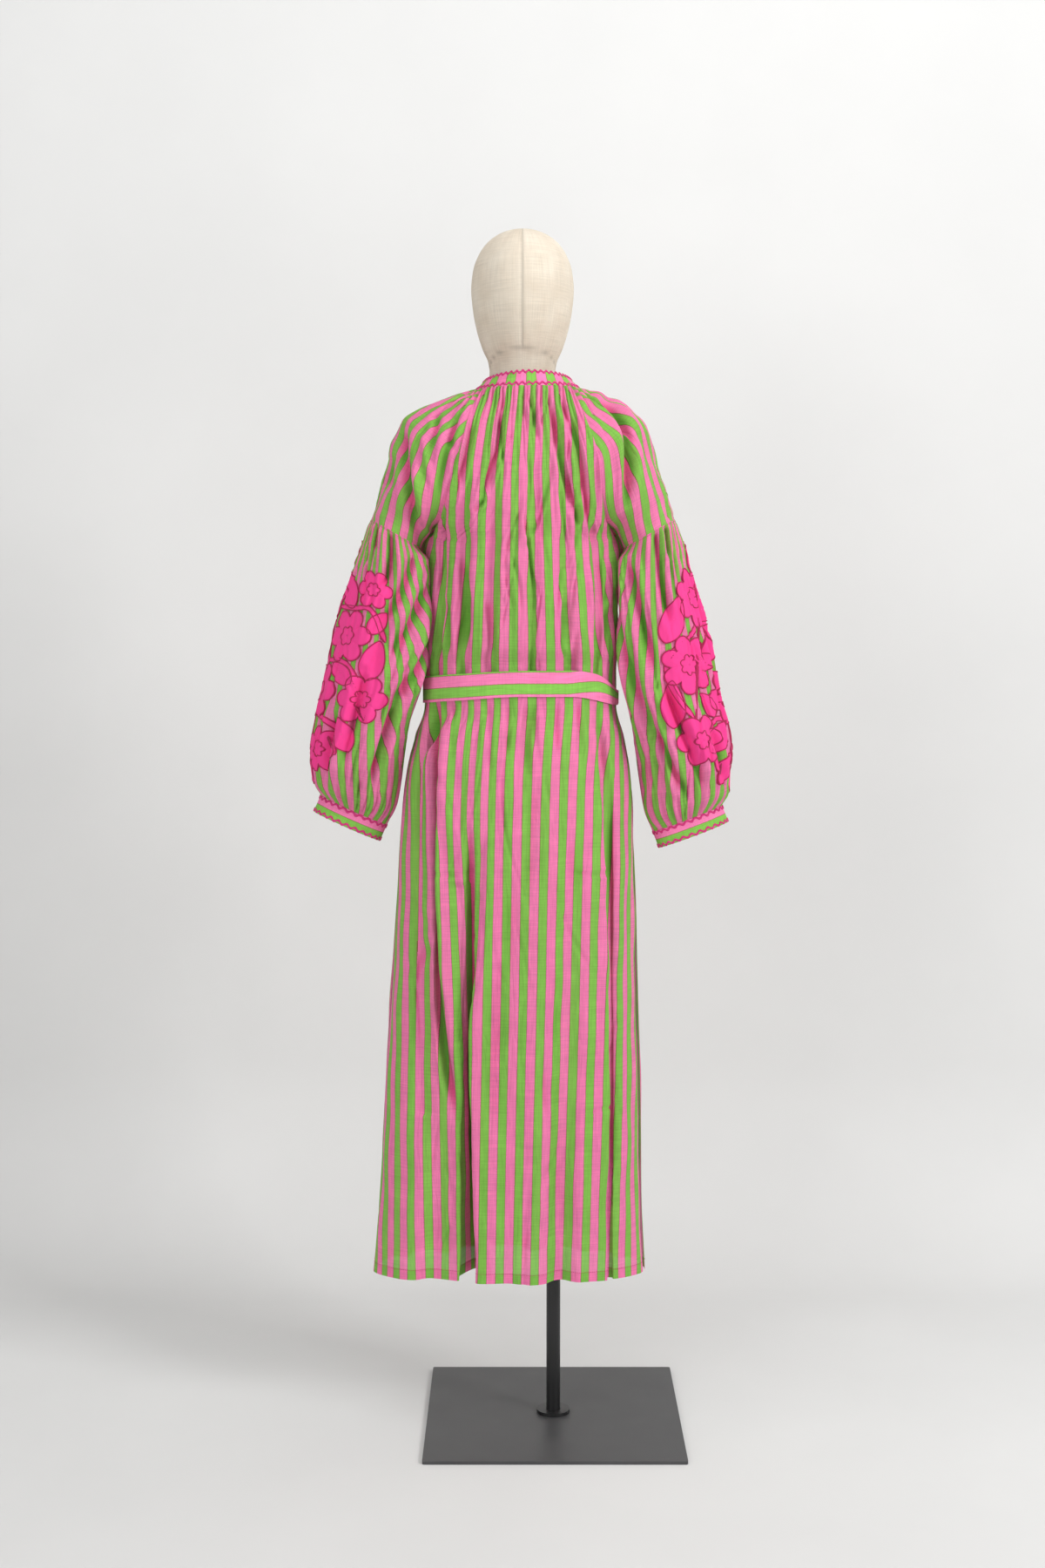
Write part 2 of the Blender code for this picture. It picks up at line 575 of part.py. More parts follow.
def part_seam(grid, normals, rows):
    """Moves both side edges of a grid back from their seams, square to the seam and along the cloth."""
    for edge, beside in ((0, 1), (-1, -2)):
        inward = unit(np.cross(normals[:, edge], np.gradient(grid[:, edge], axis=0)))
        if (inward * (grid[:, beside] - grid[:, edge])).sum() < 0:
            inward = -inward
        grid[rows, edge] += inward[rows] * CLEAR * 0.7


def slit(grid, normals, middle):
    """Opens the middle column above SLIT_STATION into a narrow V, by doubling it."""
    width = SLIT_HALF_GAP * np.clip(1 - np.arange(len(grid)) / SLIT_STATION, 0, 1)
    left, right = grid[:, middle].copy(), grid[:, middle].copy()
    left[:, 0] -= width
    right[:, 0] += width
    doubled = np.insert(grid, middle, left, axis=1)
    doubled[:, middle + 1] = right
    return doubled, np.insert(normals, middle, normals[:, middle], axis=1), (middle,)


def raglan_sleeve(side, finish, parent):
    stations = [*YOKE_ROWS, SLEEVE_SEAM]
    underarm = stations.index(UNDERARM)
    across = np.linspace(-1, 1, DENSE)
    grid = np.array([divided(raglan_curve(side, s, across), SLEEVE_COLUMNS) for s in stations])
    normals = grid_normals(grid) * side
    ring = grid[-1]
    normals[-1] = unit(ring - ring[:-1].mean(0))
    for i, station in enumerate(stations[: underarm + 1]):
        normals[i, 0] = seam_normals(-1, side, station)
        normals[i, -1] = seam_normals(1, side, station)
    for i, depth in enumerate(NECK_GATHER):
        wave = np.where(np.arange(SLEEVE_COLUMNS + 1) % 2 == 0, -1.0, 1.0) * depth
        wave[[0, -1]] = 0.0
        grid[i] += normals[i] * wave[:, None]
    part_seam(grid, normals, slice(0, underarm))
    grid[underarm, [0, -1]] += np.array([side * CLEAR * 1.5, 0.0, 0.0])
    grid[0] += unit(grid[1] - grid[0]) * CLEAR * 1.5
    grid[-1] += unit(grid[-2] - grid[-1]) * CLEAR * 0.5
    grid[underarm:, -1] = grid[underarm:, 0]
    normals[underarm:, -1] = normals[underarm:, 0]
    inner = grid - normals * WALL
    if side < 0:
        grid, inner = grid[:, ::-1], inner[:, ::-1]
    return cloth_wall(f"raglan_sleeve_{NAMES[side]}", grid, inner, finish, parent)


def balloon_grid(side):
    """Outer points and normals of a balloon, from its seam with the raglan sleeve to its cuff."""
    around = np.linspace(-1, 1, DENSE)
    grid, normals = [], []
    for down, gather in zip(BALLOON_ROWS, BALLOON_GATHER):
        ring = balloon_curve(side, down, around)
        middle = ring[:-1].mean(0)
        away = unit(ring - middle)
        ends = smoothstep(down * 6) * smoothstep((1 - down) * 6)
        depth = fold_depth(BALLOON_FOLDS, down, around, around) * ends
        ring = divided(ring - away * depth[:, None], BALLOON_COLUMNS)
        out = unit(ring - middle)
        wave = np.where(np.arange(BALLOON_COLUMNS + 1) % 2 == 0, -1.0, 1.0) * gather
        grid.append(ring + out * wave[:, None])
        normals.append(out)
    grid, normals = np.array(grid), np.array(normals)
    grid[0] += unit(grid[1] - grid[0]) * CLEAR * 0.7
    grid[-1] += unit(grid[-2] - grid[-1]) * CLEAR * 0.7
    grid[:, -1], normals[:, -1] = grid[:, 0], normals[:, 0]
    return (grid, normals) if side > 0 else (grid[:, ::-1], normals[:, ::-1])


def balloon(side, finish, parent):
    grid, normals = balloon_grid(side)
    return cloth_wall(f"balloon_sleeve_{NAMES[side]}", grid, grid - normals * WALL, finish, parent)


def applique(side, finish, parent):
    """The sewn-on flower panel on the outer arm: the balloon's own triangles cut to an oval and moved out."""
    grid, normals = balloon_grid(side)
    rows, columns = grid.shape[:2]
    across, down = np.linspace(-1, 1, columns), np.array(BALLOON_ROWS)
    sideways = np.abs(across / APPLIQUE_HALF_ROUND) ** APPLIQUE_SQUARE
    lengthwise = np.abs((down - APPLIQUE_MIDDLE) / APPLIQUE_HALF_LENGTH) ** APPLIQUE_SQUARE
    inside_by = (1 - sideways[None, :] - lengthwise[:, None]).ravel()
    inside_by[np.abs(inside_by) < 0.08] = 0.0
    low = (grid + normals * TRIM_LIFT).reshape(-1, 3)
    high = (grid + normals * (TRIM_LIFT + TRIM_WALL)).reshape(-1, 3)
    at, outside, inside, sheet = {}, [], [], []

    def corner(a, b):
        key = (min(a, b), max(a, b))
        if key not in at:
            share = 0.0 if a == b else inside_by[key[0]] / (inside_by[key[0]] - inside_by[key[1]])
            at[key] = len(outside)
            outside.append(high[key[0]] + (high[key[1]] - high[key[0]]) * share)
            inside.append(low[key[0]] + (low[key[1]] - low[key[0]]) * share)
        return at[key]

    for r in range(rows - 1):
        for c in range(columns - 1):
            for tri in triangles([i * columns + j for i, j in cell_corners(grid, r, c)]):
                face = []
                for a, b in zip(tri, tri[1:] + tri[:1]):
                    if inside_by[a] >= 0:
                        face.append(corner(a, a))
                    if inside_by[a] * inside_by[b] < 0:
                        face.append(corner(a, b))
                if len(face) >= 3 and max(inside_by[v] for v in tri) > 0:
                    sheet.append(face)
    return wall_object(f"applique_{NAMES[side]}", outside, inside, sheet, finish, parent)


def band_wall(name, top, bottom, away, wall, finish, parent, lift=0.0):
    """A strip between two edges, its underside lift away from them."""
    inner = np.array([top, bottom]) + np.array([away, away]) * lift
    return cloth_wall(name, inner + np.array([away, away]) * wall, inner, finish, parent)


def neckband_edges(columns, low=0.0, high=1.0):
    """Upper and lower edge of the neckband from one side of the front slit round the back to the other."""
    gap = SLIT_HALF_GAP / NECK_HALF_WIDTH
    angle = np.linspace(-math.pi + gap, math.pi - gap, columns + 1)
    seam = neck_ring(angle)
    centre = np.array([NECK_X, NECK_Y, 0.0])
    flat = unit((seam - centre) * np.array([1, 1, 0]))
    side = (np.sin(angle) ** 2)[:, None]
    up, lean = (pair[0] + (pair[1] - pair[0]) * side for pair in (NECKBAND_RISE, NECKBAND_LEAN))
    rise = flat * -lean + np.array([0, 0, 1.0]) * up
    away = unit(flat * up + np.array([0, 0, 1.0]) * lean)
    return seam + rise * high, seam + rise * low, away


def neckband(finish, parent):
    top, bottom, away = neckband_edges(BAND_COLUMNS, 0.035, 1.0)
    return band_wall("neckband", top, bottom, away, BAND_WALL, finish, parent, -BAND_WALL)


def braid(name, centre, up, away, finish, parent):
    """A ric-rac braid along a centre line: two columns for each wave, swinging up and down."""
    swing = np.where(np.arange(len(centre)) % 2 == 0, 1.0, -1.0)[:, None] * BRAID_SWING
    if np.allclose(centre[0], centre[-1]):
        swing[-1] = swing[0]
    middle = centre + up * swing
    half = up * BRAID_WIDTH / 2
    return band_wall(name, middle + half, middle - half, away, TRIM_WALL, finish, parent, TRIM_LIFT)


def neck_braids(finish, parent):
    length = 2 * math.pi * math.sqrt((NECK_HALF_WIDTH**2 + NECK_HALF_DEPTH**2) / 2)
    waves = round(length / BRAID_WAVE)
    for name, share in (("ricrac_neck_top", 0.90), ("ricrac_neck_bottom", 0.22)):
        centre, _, away = neckband_edges(2 * waves, 0.0, share)
        up = unit(neckband_edges(2 * waves, 0.0, 1.0)[0] - neckband_edges(2 * waves, 0.0, 1.0)[1])
        braid(name, centre, up, away, finish, parent)


def cuff_ring(side, down, columns):
    """A ring of a cuff, down metres below its top edge, and its outward directions."""
    around = np.linspace(-1, 1, columns + 1)
    ring = balloon_curve(side, 1.0, around)
    slant = math.radians(CUFF_SLANT[side])
    axis = np.array([side * math.sin(slant), 0.0, -math.cos(slant)])
    middle = ring[:-1].mean(0)
    out = ring - middle
    out = out - (out @ axis)[:, None] * axis
    along = np.gradient(ring, axis=0)
    along[0] = along[-1] = ring[1] - ring[-2]
    away = unit(np.cross(along, axis)) * side
    if (away * out).sum() < 0:
        away = -away
    ring = ring + axis * down
    ring[-1], away[-1] = ring[0], away[0]
    return ring, away, -axis


def cuff(side, finish, parent):
    top, away, _ = cuff_ring(side, CLEAR, CUFF_COLUMNS)
    bottom, _, _ = cuff_ring(side, CUFF_HEIGHT, CUFF_COLUMNS)
    if side > 0:
        top, bottom, away = top[::-1], bottom[::-1], away[::-1]
    inner = np.array([top, bottom]) - np.array([away, away]) * BAND_WALL
    outer = np.array([top, bottom])
    return cloth_wall(f"cuff_{NAMES[side]}", outer[:, ::-1], inner[:, ::-1], finish, parent)


def cuff_braids(side, finish, parent):
    ring, _, _ = cuff_ring(side, 0.0, 200)
    waves = round(float(np.linalg.norm(np.diff(ring, axis=0), axis=1).sum()) / BRAID_WAVE)
    for name, down in (("top", 0.0040), ("bottom", CUFF_HEIGHT - 0.0042)):
        centre, away, up = cuff_ring(side, down, 2 * waves)
        centre, away = (centre[::-1], away[::-1]) if side < 0 else (centre, away)
        up = np.tile(up, (len(centre), 1))
        braid(f"ricrac_cuff_{NAMES[side]}_{name}", centre, up, away, finish, parent)


# The belt's upper and lower edge on the way round, from the left side (-90) over the back (0) to the right (90) and
# the front (180). It is pulled narrow on the right, where it runs to the knot.
BELT = Table(
    ("angle", "top_z", "bottom_z"),
    [
        (-180, 1.1130, 1.0830),
        (-135, 1.1160, 1.0800),
        (-90, 1.1180, 1.0800),
        (-40, 1.1240, 1.0860),
        (0, 1.1290, 1.0920),
        (30, 1.1290, 1.0915),
        (48, 1.1270, 1.0890),
        (72, 1.1090, 1.0830),
        (90, 1.0980, 1.0800),
        (135, 1.1080, 1.0800),
        (180, 1.1130, 1.0830),
    ],
)


def waist_outline(angle, z, lift):
    """A point outside the cloth at the waist, lift away from it."""
    back = np.cos(angle) >= 0
    across = np.where(back, angle, np.sign(angle + 1e-9) * math.pi - angle) / (math.pi / 2)
    points = np.where(back[:, None], body_curve(-1, waist_level(z), across), body_curve(1, waist_level(z), across))
    away = np.gradient(points, axis=0)
    away[0] = away[-1] = points[1] - points[-2]
    away = unit(np.cross(away, [0, 0, 1]))
    return points + away * lift, away


def waist_level(z):
    heights = (BODY_TOP, *BODY_ROWS)
    i = next(k for k in range(len(heights) - 1) if heights[k] >= z >= heights[k + 1])
    return UNDERARM + i + (heights[i] - z) / (heights[i] - heights[i + 1])


def belt(finish, parent):
    angle = np.linspace(-math.pi, math.pi, BELT_COLUMNS + 1)
    points, away = waist_outline(angle, 1.105, BELT_PLAY)
    points[-1], away[-1] = points[0], away[0]
    edges = []
    for name in ("top_z", "bottom_z"):
        edge = points.copy()
        edge[:, 2] = [BELT.read(name, math.degrees(a)) for a in angle]
        edges.append(edge)
    inner = np.array(edges)
    outer = inner + np.array([away, away]) * BAND_WALL
    return cloth_wall("belt", outer, inner, finish, parent)


def front_reach(x, z, folds, width):
    """How far forward the folded front comes over a strip of this width, at this height."""
    level = waist_level(z)
    across = np.linspace(-1, 1, DENSE)
    depth = fold_depth(folds, z, across, across)
    dense = folded_row(lambda k, a: body_curve(1, k, a), level, depth, 1)
    near = np.abs(dense[:, 0] - x) < width
    return dense[near, 1].max()


KNOT_X, KNOT_Z = 0.012, 1.098
KNOT_SIZE = (0.040, 0.022, 0.034)
TAILS = {  # x at the knot and at the end, and length
    "left": (-0.002, -0.034, 0.34),
    "right": (0.026, 0.052, 0.38),
}


def knot(finish, parent):
    mesh = bpy.data.meshes.new("belt_knot")
    bm = bmesh.new()
    bmesh.ops.create_cube(bm, size=1.0)
    bmesh.ops.scale(bm, vec=KNOT_SIZE, verts=bm.verts)
    bmesh.ops.bevel(bm, geom=bm.edges[:], offset=0.007, segments=2, profile=0.5, affect="EDGES", material=-1)
    bmesh.ops.triangulate(bm, faces=bm.faces)
    bm.to_mesh(mesh)
    bm.free()
    made = mesh_object("belt_knot", mesh, finish, parent)
    made.location = (KNOT_X, knot_y(), KNOT_Z)
    return made


def knot_y():
    return front_reach(KNOT_X, 1.100, [], 0.02) + BELT_PLAY + BAND_WALL + KNOT_SIZE[1] / 2 + CLEAR


def belt_tail(name, finish, parent):
    start_x, end_x, length = TAILS[name]
    start_z = KNOT_Z - KNOT_SIZE[2] / 2 - CLEAR
    rows = []
    for share in np.linspace(0, 1, 10):
        z = start_z - length * share
        x = start_x + (end_x - start_x) * share
        y = front_reach(x, max(z, BODY_ROWS[-1]), FRONT_FOLDS, TAIL_WIDTH) + 0.004
        half = TAIL_WIDTH / 2 * (0.35 + 0.65 * min(1.0, share * 4))
        rows.append([(x + half * side, y + 0.002 * (1 - abs(side)), z) for side in (1.0, 0.0, -1.0)])
    inner = np.array(rows)
    inner[0, :, 1] = knot_y() - BAND_WALL / 2
    inner[:, :, 1] = smooth_down(inner[:, :, 1])
    outer = inner + np.array([0.0, BAND_WALL, 0.0])
    return cloth_wall(f"belt_tail_{name}", outer, inner, finish, parent)


def smooth_down(values):
    """Each value raised to the mean of its neighbours where that is further out, so that a strip bridges dips."""
    out = values.copy()
    for _ in range(30):
        out[1:-1] = np.maximum(out[1:-1], (out[:-2] + out[2:]) / 2)
    return out


# --- dress form and stand -------------------------------------------------------------------------------------


def lofted(name, sections, finish, parent):
    """A closed solid through level sections, each half an ellipse behind and half in front."""
    bm = bmesh.new()
    rings = []
    for z, half_width, back, front, x in sections:
        ring = []
        for i in range(FORM_SIDES):
            angle = 2 * math.pi * i / FORM_SIDES
            depth = back if math.cos(angle) > 0 else front
            ring.append(bm.verts.new((x + half_width * math.sin(angle), -depth * math.cos(angle), z)))
        rings.append(ring)
    for low, high in zip(rings, rings[1:]):
        for i in range(FORM_SIDES):
            j = (i + 1) % FORM_SIDES
            bm.faces.new((low[i], low[j], high[j], high[i]))
    bm.faces.new(rings[0][::-1])
    bm.faces.new(rings[-1])
    bmesh.ops.recalc_face_normals(bm, faces=bm.faces)
    mesh = bpy.data.meshes.new(name)
    bm.to_mesh(mesh)
    bm.free()
    return mesh_object(name, mesh, finish, parent)


def cylinder(name, radius, low, high, sides, finish=None):
    mesh = bpy.data.meshes.new(name)
    bm = bmesh.new()
    bmesh.ops.create_cone(bm, cap_ends=True, segments=sides, radius1=radius, radius2=radius, depth=high - low)
    bmesh.ops.translate(bm, verts=bm.verts, vec=(0, 0, (high + low) / 2))
    bm.to_mesh(mesh)
    bm.free()
    if finish:
        return mesh_object(name, mesh, finish)
    made = bpy.data.objects.new(name, mesh)
    bpy.context.collection.objects.link(made)
    return made


def bored(thing, radius, low, high, sides=24):
    """Cuts a round hole on the pole's axis into a piece."""
    cutter = cylinder(thing.name + "_hole", radius, low, high, sides)
    cutter.hide_render = True
    cutter.display_type = "WIRE"
    cut = thing.modifiers.new("hole", "BOOLEAN")
    cut.operation = "DIFFERENCE"
    cut.solver = "EXACT"
    cut.object = cutter


def stand(finish):
    mesh = bpy.data.meshes.new("base_plate")
    bm = bmesh.new()
    bmesh.ops.create_cube(bm, size=1.0)
    bmesh.ops.scale(bm, vec=(PLATE_SIDE, PLATE_SIDE, PLATE_THICK), verts=bm.verts)
    bmesh.ops.translate(bm, verts=bm.verts, vec=(0, 0, PLATE_THICK / 2))
    upright = [e for e in bm.edges if abs(e.verts[0].co.z - e.verts[1].co.z) > PLATE_THICK / 2]
    bmesh.ops.bevel(bm, geom=upright, offset=0.003, segments=3, profile=0.5, affect="EDGES", material=-1)
    bm.to_mesh(mesh)
    bm.free()
    mesh_object("base_plate", mesh, finish)
    socket_top = TORSO[0][0] + SOCKET_DEPTH
    cylinder("pole", POLE_RADIUS, PLATE_THICK + CLEAR, socket_top - CLEAR, 24, finish)
    low = PLATE_THICK + CLEAR
    flange = cylinder("base_flange", FLANGE_RADIUS, low, low + FLANGE_THICK, 32, finish)
    bored(flange, POLE_RADIUS + CLEAR, low - 0.01, low + FLANGE_THICK + 0.01, 24)


def dress_form(finish, parent):
    torso = lofted("form_torso", TORSO, finish, parent)
    bored(torso, POLE_RADIUS + CLEAR, TORSO[0][0] - 0.01, TORSO[0][0] + SOCKET_DEPTH)
    lofted("form_head", HEAD, finish, parent)


NAMES = {-1: "left", 1: "right"}


def build():
    empty_scene()
    axis = bpy.data.objects.new("garment_axis", None)
    axis.location = (GARMENT_X, 0, 0)
    bpy.context.collection.objects.link(axis)
    stand("steel")
    dress_form("linen", axis)
    body_panel("back_panel", -1, BACK_COLUMNS, BACK_FOLDS, "voile", axis)
    body_panel("front_panel", 1, FRONT_COLUMNS, FRONT_FOLDS, "voile", axis)
    for side in (-1, 1):
        raglan_sleeve(side, "voile", axis)
        balloon(side, "voile", axis)
        applique(side, "hot_pink", axis)
        cuff(side, "voile", axis)
        cuff_braids(side, "hot_pink", axis)
    neckband("voile", axis)
    neck_braids("hot_pink", axis)
    belt("voile", axis)
    knot("voile", axis)
    for name in TAILS:
        belt_tail(name, "voile", axis)


build()
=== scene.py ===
"""A striped cotton voile kaftan with balloon sleeves and a tie belt, dressed on a linen form with a stand.

Metres, +Z up. The garment's back faces -Y. Every garment table is measured from the garment axis, which
stands GARMENT_X from the pole. "left" and "right" are -X and +X.
"""

import math

import bmesh
import bpy
import numpy as np
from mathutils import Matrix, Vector


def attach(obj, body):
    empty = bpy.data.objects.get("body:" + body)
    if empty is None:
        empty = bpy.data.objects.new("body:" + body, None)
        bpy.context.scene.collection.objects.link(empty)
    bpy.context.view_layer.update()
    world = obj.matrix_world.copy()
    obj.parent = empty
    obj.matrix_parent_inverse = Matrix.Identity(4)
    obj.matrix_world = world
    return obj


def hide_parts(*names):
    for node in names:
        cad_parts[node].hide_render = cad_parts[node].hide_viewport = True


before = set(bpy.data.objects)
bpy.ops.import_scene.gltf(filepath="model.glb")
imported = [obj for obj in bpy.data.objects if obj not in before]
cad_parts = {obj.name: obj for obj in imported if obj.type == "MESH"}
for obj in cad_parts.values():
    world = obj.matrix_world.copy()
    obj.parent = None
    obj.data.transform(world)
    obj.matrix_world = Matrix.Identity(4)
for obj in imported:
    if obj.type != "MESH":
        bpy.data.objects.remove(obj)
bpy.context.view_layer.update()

bl_info = {
    "name": "Striped kaftan on a dress form",
    "version": (1, 0, 0),
    "blender": (4, 5, 0),
    "location": "View3D > Sidebar > Kaftan",
    "description": "Builds the fine cloth, trims, form and stand of a striped kaftan",
    "category": "Object",
}

CLEAR = 0.0003  # running gap between two pieces that touch in the real object
GARMENT_X = -0.0466  # the garment axis stands this far to the left of the pole
BAND_WALL = 0.0024  # neckband, cuffs and belt, which are folded double
TRIM_LIFT = 0.0006  # how far a braid's underside stands off its band

NECK_X, NECK_Y = 0.007, 0.0
NECK_HALF_WIDTH, NECK_HALF_DEPTH = 0.077, 0.073
NECK_BACK_Z, NECK_SIDE_Z, NECK_FRONT_Z = 1.535, 1.5357, 1.503
NECK_TILT = 0.0017  # the right side of the neck ring stands this much higher than its middle
NECKBAND_RISE, NECKBAND_LEAN = (0.0225, 0.0150), (0.0100, 0.0150)  # at the back and front, and at the sides
RAGLAN_AT_NECK = 32.0  # degrees each side of the shoulder line that a sleeve takes of the neck ring
SLIT_STATION = 5  # the station at which the front slit ends
SLIT_HALF_GAP = 0.0035  # half of how far the slit stands open at the neck

CUFF_HEIGHT = 0.026  # down its folded side
BELT_PLAY = 0.0007  # room between the belt and the panels
TAIL_WIDTH = 0.036  # of the belt's hanging ends
PINK_WIDTH, GREEN_WIDTH = 0.0143, 0.0130  # the stripes in flat cloth
WAIST_Z = 1.105  # middle of the belt

DENSE = 721  # samples along a row before it is divided evenly
UNDERARM = 7  # station of the underarm point; the yoke runs from station 0 at the neck ring to here
SLEEVE_SEAM = 8  # station of the seam between the raglan sleeve and its balloon


class Table:
    """Rows of sizes under named columns, read between the rows along a curve that never overshoots."""

    def __init__(self, columns, rows):
        self.columns = {name: [row[i] for row in rows] for i, name in enumerate(columns)}
        self.at = self.columns[columns[0]]

    def read(self, name, x):
        at, values = self.at, self.columns[name]
        if at[0] > at[-1]:
            at, values = at[::-1], values[::-1]
        x = min(max(x, at[0]), at[-1])
        i = min(max(int(np.searchsorted(at, x, side="right")) - 1, 0), len(at) - 2)
        step = at[i + 1] - at[i]
        f = (x - at[i]) / step
        first, last = (self._slope(at, values, k) * step for k in (i, i + 1))
        rise = values[i + 1] - values[i]
        bend = f * f * (3 * rise - 2 * first - last) + f**3 * (first + last - 2 * rise)
        return values[i] + f * first + bend

    @staticmethod
    def _slope(at, values, k):
        if k in (0, len(at) - 1):
            j = min(k, len(at) - 2)
            return (values[j + 1] - values[j]) / (at[j + 1] - at[j])
        before = (values[k] - values[k - 1]) / (at[k] - at[k - 1])
        after = (values[k + 1] - values[k]) / (at[k + 1] - at[k])
        return 0.0 if before * after <= 0 else 2 * before * after / (before + after)


def named(columns, rows):
    """Each row as a dictionary with a name for every column."""
    return [dict(zip(columns, row)) for row in rows]


# The raglan sleeve from the neck ring (station 0) over the shoulder to the balloon seam (station 8): the
# point on the shoulder and outer arm line, the middle of the two raglan seams or the underarm seam, the
# half depth, and how many degrees each side of the arm line the cloth reaches. x is outwards.
RAGLAN_COLUMNS = ("station", "top_x", "top_z", "in_x", "in_z", "half_depth", "reach", "y")
RAGLAN = {
    -1: Table(RAGLAN_COLUMNS, [
        (0, 0.0700, 1.5340, 0.0583, 1.5340, 0.073, 32, 0.000),
        (1, 0.1050, 1.5245, 0.0740, 1.5000, 0.124, 46, -0.003),
        (2, 0.1480, 1.5080, 0.0840, 1.4620, 0.120, 58, -0.005),
        (3, 0.1760, 1.4870, 0.0930, 1.4300, 0.112, 72, -0.006),
        (4, 0.1880, 1.4550, 0.1010, 1.4000, 0.102, 88, -0.006),
        (5, 0.1970, 1.4230, 0.1100, 1.3720, 0.093, 106, -0.006),
        (6, 0.2060, 1.3930, 0.1200, 1.3450, 0.084, 132, -0.004),
        (7, 0.2130, 1.3700, 0.1360, 1.3250, 0.076, 180, 0.000),
        (8, 0.2215, 1.3480, 0.1470, 1.3050, 0.072, 180, -0.002),
    ]),
    1: Table(RAGLAN_COLUMNS, [
        (0, 0.0840, 1.5374, 0.0723, 1.5374, 0.073, 32, 0.000),
        (1, 0.1140, 1.5255, 0.0840, 1.5030, 0.122, 44, -0.003),
        (2, 0.1520, 1.5080, 0.0980, 1.4660, 0.120, 56, -0.005),
        (3, 0.1770, 1.4880, 0.1080, 1.4320, 0.112, 72, -0.006),
        (4, 0.1880, 1.4560, 0.1120, 1.4000, 0.102, 88, -0.006),
        (5, 0.1970, 1.4230, 0.1150, 1.3720, 0.093, 106, -0.006),
        (6, 0.2070, 1.3930, 0.1210, 1.3450, 0.084, 132, -0.004),
        (7, 0.2140, 1.3700, 0.1360, 1.3250, 0.076, 180, 0.000),
        (8, 0.2225, 1.3480, 0.1470, 1.3050, 0.072, 180, -0.002),
    ]),
}

# The balloon from the seam (0) to the top of the cuff (1): its outer and its inner edge as seen from
# behind, its half depth, and how far its back is turned towards the body, in degrees.
BALLOON_COLUMNS = ("down", "out_x", "out_z", "in_x", "in_z", "half_depth", "y", "turn")
BALLOON = {
    -1: Table(BALLOON_COLUMNS, [
        (0.00, 0.2215, 1.3480, 0.1470, 1.3050, 0.072, -0.002, 0),
        (0.12, 0.2400, 1.2960, 0.1475, 1.2600, 0.076, -0.006, 6),
        (0.30, 0.2630, 1.2230, 0.1475, 1.1960, 0.077, -0.010, 9),
        (0.50, 0.2860, 1.1380, 0.1520, 1.1180, 0.076, -0.010, 9),
        (0.70, 0.3030, 1.0560, 0.1700, 1.0380, 0.074, -0.006, 6),
        (0.84, 0.3120, 1.0020, 0.1780, 0.9800, 0.068, -0.002, 3),
        (0.94, 0.3080, 0.9640, 0.1860, 0.9310, 0.050, 0.000, 0),
        (1.00, 0.2990, 0.9430, 0.2010, 0.8990, 0.022, 0.000, 0),
    ]),
    1: Table(BALLOON_COLUMNS, [
        (0.00, 0.2225, 1.3480, 0.1470, 1.3050, 0.072, -0.002, 0),
        (0.12, 0.2380, 1.2940, 0.1475, 1.2600, 0.076, -0.006, 6),
        (0.30, 0.2570, 1.2210, 0.1475, 1.1940, 0.077, -0.010, 9),
        (0.50, 0.2780, 1.1340, 0.1510, 1.1130, 0.076, -0.010, 9),
        (0.70, 0.2960, 1.0500, 0.1650, 1.0300, 0.074, -0.006, 6),
        (0.84, 0.3060, 0.9950, 0.1720, 0.9700, 0.068, -0.002, 3),
        (0.94, 0.3050, 0.9520, 0.1800, 0.9220, 0.050, 0.000, 0),
        (1.00, 0.2960, 0.9280, 0.1930, 0.8890, 0.022, 0.000, 0),
    ]),
}
CUFF_SLANT = {-1: 24.2, 1: 20.8}  # degrees that a cuff's axis points outwards from straight down

# The middle of the back and of the front at each yoke station, and the share of a half turn that the row
# spans.
YOKE = Table(("station", "back_y", "back_z", "front_y", "front_z", "span"), [
    (0, -0.0730, 1.5350, 0.0730, 1.5030, 58),
    (1, -0.0930, 1.4900, 0.0900, 1.4660, 63),
    (2, -0.1060, 1.4510, 0.1030, 1.4300, 67),
    (3, -0.1140, 1.4150, 0.1140, 1.3960, 71),
    (4, -0.1190, 1.3830, 0.1220, 1.3680, 75),
    (5, -0.1210, 1.3540, 0.1280, 1.3430, 79),
    (6, -0.1215, 1.3290, 0.1310, 1.3220, 84),
    (7, -0.1210, 1.3060, 0.1320, 1.3020, 90),
])

